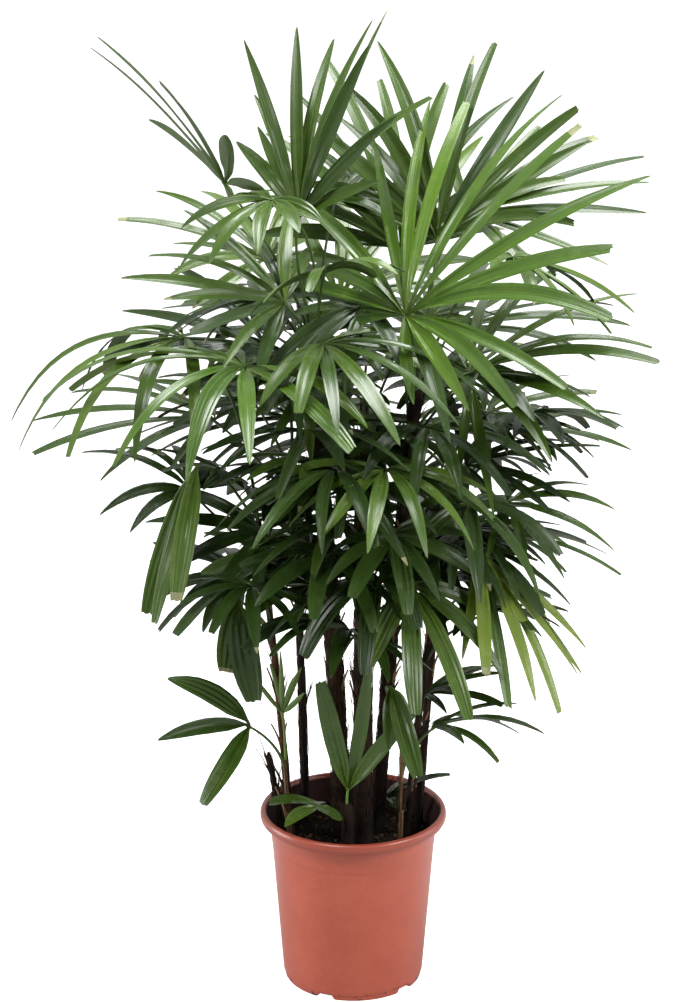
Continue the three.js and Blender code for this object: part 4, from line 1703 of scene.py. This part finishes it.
def crumb_tree() -> NodeTree:
    """The Geometry Nodes tree that strews a surface with crumbs.

    Returns:
        The tree.
    """
    kinds = dict.fromkeys(("Density", "Smallest", "Largest", "Flatness"), "Float")
    tree = Growth("crumb_strewing", {**kinds, "Seed": "Int"})
    given = tree.given
    inputs = {"Mesh": given["Geometry"], "Density": given["Density"], "Seed": given["Seed"]}
    points = tree.value("GeometryNodeDistributePointsOnFaces", inputs)
    lump = tree.value("GeometryNodeMeshIcoSphere", {"Radius": MM, "Subdivisions": 2})
    inputs = {0: (0, 0, 0), 1: (6.28, 6.28, 6.28), "Seed": 3}
    turn = tree.value("FunctionNodeRandomValue", inputs, data_type="FLOAT_VECTOR")
    size = tree.random(given["Smallest"], given["Largest"], 4)
    scale = tree.value("ShaderNodeCombineXYZ", {0: size, 1: size, 2: tree.times(size, given["Flatness"])})
    inputs = {"Points": points, "Instance": lump, "Rotation": turn, "Scale": scale}
    strewn = tree.real(tree.value("GeometryNodeInstanceOnPoints", inputs))
    wobble = tree.node("ShaderNodeTexNoise", {"Scale": 700.0, "Detail": 2.0}).outputs["Color"]
    centred = tree.value("ShaderNodeVectorMath", {0: wobble, 1: (0.5, 0.5, 0.5)}, operation="SUBTRACT")
    offset = tree.value("ShaderNodeVectorMath", {0: centred, "Scale": 0.004}, operation="SCALE")
    return tree.ended(tree.value("GeometryNodeSetPosition", {"Geometry": strewn, "Offset": offset}))


@dataclass
class PottingSoil:
    """Moist potting mix: an uneven top with crumbs and bark chips strewn over it."""

    pot: Pot
    bottom: float = 7.3
    clear: float = 2.8
    sides: int = 72
    rings: int = 22

    def surface(self, x: float, y: float) -> float:
        """The soil's height at a place: low waves that flatten towards the wall.

        Args:
            x: the place's distance to the right.
            y: its distance to the back.

        Returns:
            The height.
        """
        wave = math.sin(x / 9 + 1.3) * math.cos(y / 11) + 0.6 * math.sin(x / 4.1 - y / 5.3)
        mound = 2.5 * (1 - (math.hypot(x, y) / 100) ** 2)
        return SOIL_TOP - 1.5 + mound + 0.9 * wave

    def ring(self, radius: float) -> Ring:
        """A ring of the soil's top at a radius."""
        spots = [(radius * math.cos(a), radius * math.sin(a)) for a in circle(self.sides)]
        return [Vector((x, y, self.surface(x, y))) for x, y in spots]

    def build(self) -> None:
        """Builds the soil's body, then its crumbs and chips."""
        edge = self.pot.outside(SOIL_TOP) - self.clear
        foot = self.pot.outside(self.bottom) - self.clear
        rings = [
            [Vector((r * math.cos(a), r * math.sin(a), z)) for a in circle(self.sides)]
            for r, z in ((foot * 0.5, self.bottom), (foot, self.bottom), (edge, SOIL_TOP - 6))
        ]
        rings += [self.ring(edge * (1 - (k / self.rings))) for k in range(self.rings)]
        shells = Shells()
        shells.tube(rings)
        settle(shells.piece("soil_body", [SOIL.material()], crease=80), ["potting_soil"])
        tree = crumb_tree()
        for name, density, smallest, largest, flatness, seed, finish in (
            ("soil_crumbs", 62000.0, 0.7, 2.5, 0.75, 8, CRUMB),
            ("soil_chips", 5200.0, 1.4, 4.2, 0.35, 9, BARK_CHIP),
        ):
            values = {"Density": density, "Smallest": smallest, "Largest": largest, "Flatness": flatness}
            values |= {"Seed": seed, "Finish": finish.material()}
            settle(grown(self.top(edge), tree, values, name))

    def top(self, edge: float) -> Object:
        """The open top surface that crumbs are strewn on.

        Args:
            edge: the surface's radius.

        Returns:
            The object.
        """
        count = 12
        points, faces = [], []
        for j in range(count):
            points += [tuple(p * MM) for p in self.ring(edge * (j + 1) / count - 1.5)]
        for j in range(count - 1):
            near, far = j * self.sides, (j + 1) * self.sides
            for k in range(self.sides):
                n = (k + 1) % self.sides
                faces.append([near + k, far + k, far + n, near + n])
        mesh = bpy.data.meshes.new("soil_top")
        mesh.from_pydata(points, [], faces)
        return link("soil_top", mesh)


# --- studio


@dataclass
class Studio:
    """A plain pale floor, soft light from all sides and the camera."""

    camera_place: Triple = (-0.017, -3.3, 1.706)
    camera_pitch: float = 17.8
    focal: float = 2786 / 1002
    floor_colour: Triple = (0.55, 0.55, 0.55)
    air: float = 0.3
    sheen: float = 0.42

    def build(self) -> None:
        """Builds the floor, the lights and the camera."""
        self.floor()
        self.world()
        self.softbox("key", (-1.2, -1.7, 3.2), (0, 0, 0.8), 1.1, 70)
        self.softbox("fill", (2.3, -1.3, 2.1), (0.1, 0, 0.95), 1.2, 52)
        self.softbox("top", (0.3, 0.5, 3.0), (0, 0, 0.8), 1.2, 86)
        self.softbox("left_side", (-2.0, 0.15, 0.5), (0, 0, 0.3), 1.0, 20)
        self.softbox("right_side", (2.0, 0.15, 0.5), (0, 0, 0.3), 1.0, 7)
        self.camera()
        bpy.context.scene.view_settings.view_transform = "Standard"

    def floor(self) -> None:
        """Lays the floor."""
        mesh = bpy.data.meshes.new("studio_floor")
        corners = [(-40, -40, 0), (40, -40, 0), (40, 40, 0), (-40, 40, 0)]
        mesh.from_pydata(corners, [], [(0, 1, 2, 3)])
        paint = Paint("floor_paint")
        seen = paint.node("ShaderNodeLightPath").outputs["Is Camera Ray"]
        glow = paint.value("ShaderNodeEmission", {"Color": (1, 1, 1, 1), "Strength": seen})
        both = paint.value("ShaderNodeAddShader", {0: paint.shader.outputs[0], 1: glow})
        paint.feed(paint.tree.nodes["Material Output"], {"Surface": both})
        mesh.materials.append(paint.finished({"Base Color": rgba(self.floor_colour), "Roughness": 0.9}, {}))
        link("studio_floor", mesh)

    def world(self) -> None:
        """Fills the room with even light, which looks white itself and brighter in reflections."""
        world = bpy.data.worlds.new("studio_air")
        world.use_nodes = True
        tree = Tree(world.node_tree)
        path = tree.node("ShaderNodeLightPath").outputs
        strength = tree.times(path["Is Camera Ray"], 1 - self.air, self.air)
        strength = tree.times(path["Is Glossy Ray"], self.sheen, strength)
        tree.feed(tree.tree.nodes["Background"], {"Color": (1, 1, 1, 1), "Strength": strength})
        bpy.context.scene.world = world

    def softbox(self, name: str, place: Triple, target: Triple, size: float, power: float) -> None:
        """Hangs a square soft light that faces a target.

        Args:
            name: the light's name.
            place: where it hangs, in metres.
            target: the place that it faces.
            size: the length of its side in metres.
            power: its power in watts.
        """
        lamp = bpy.data.lights.new(name, "AREA")
        lamp.shape, lamp.size, lamp.energy = "SQUARE", size, power
        thing = bpy.data.objects.new(name, lamp)
        thing.location = place
        thing.rotation_euler = (Vector(target) - Vector(place)).to_track_quat("-Z", "Y").to_euler()
        bpy.context.scene.collection.objects.link(thing)

    def camera(self) -> None:
        """Sets the camera up."""
        lens = bpy.data.cameras.new("camera")
        lens.sensor_width = 36
        lens.lens = self.focal * lens.sensor_width
        thing = bpy.data.objects.new("camera", lens)
        thing.location = self.camera_place
        thing.rotation_euler = (math.radians(90 - self.camera_pitch), 0, 0)
        bpy.context.scene.collection.objects.link(thing)
        bpy.context.scene.camera = thing


def plain(corners: tuple) -> list[list[float]]:
    """A box's two corners as plain lists of numbers."""
    return [[float(value) for value in corner] for corner in corners]


def main() -> None:
    """Builds the plant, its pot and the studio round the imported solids."""
    logging.basicConfig(level=logging.INFO, format="%(name)s: %(message)s")
    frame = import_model()
    pot = Pot()
    Foliage(CANES).build(frame)
    CaneSheaths(CANES).build()
    pot.build()
    PottingSoil(pot).build()
    Studio().build()


if __name__ == "__main__":
    main()
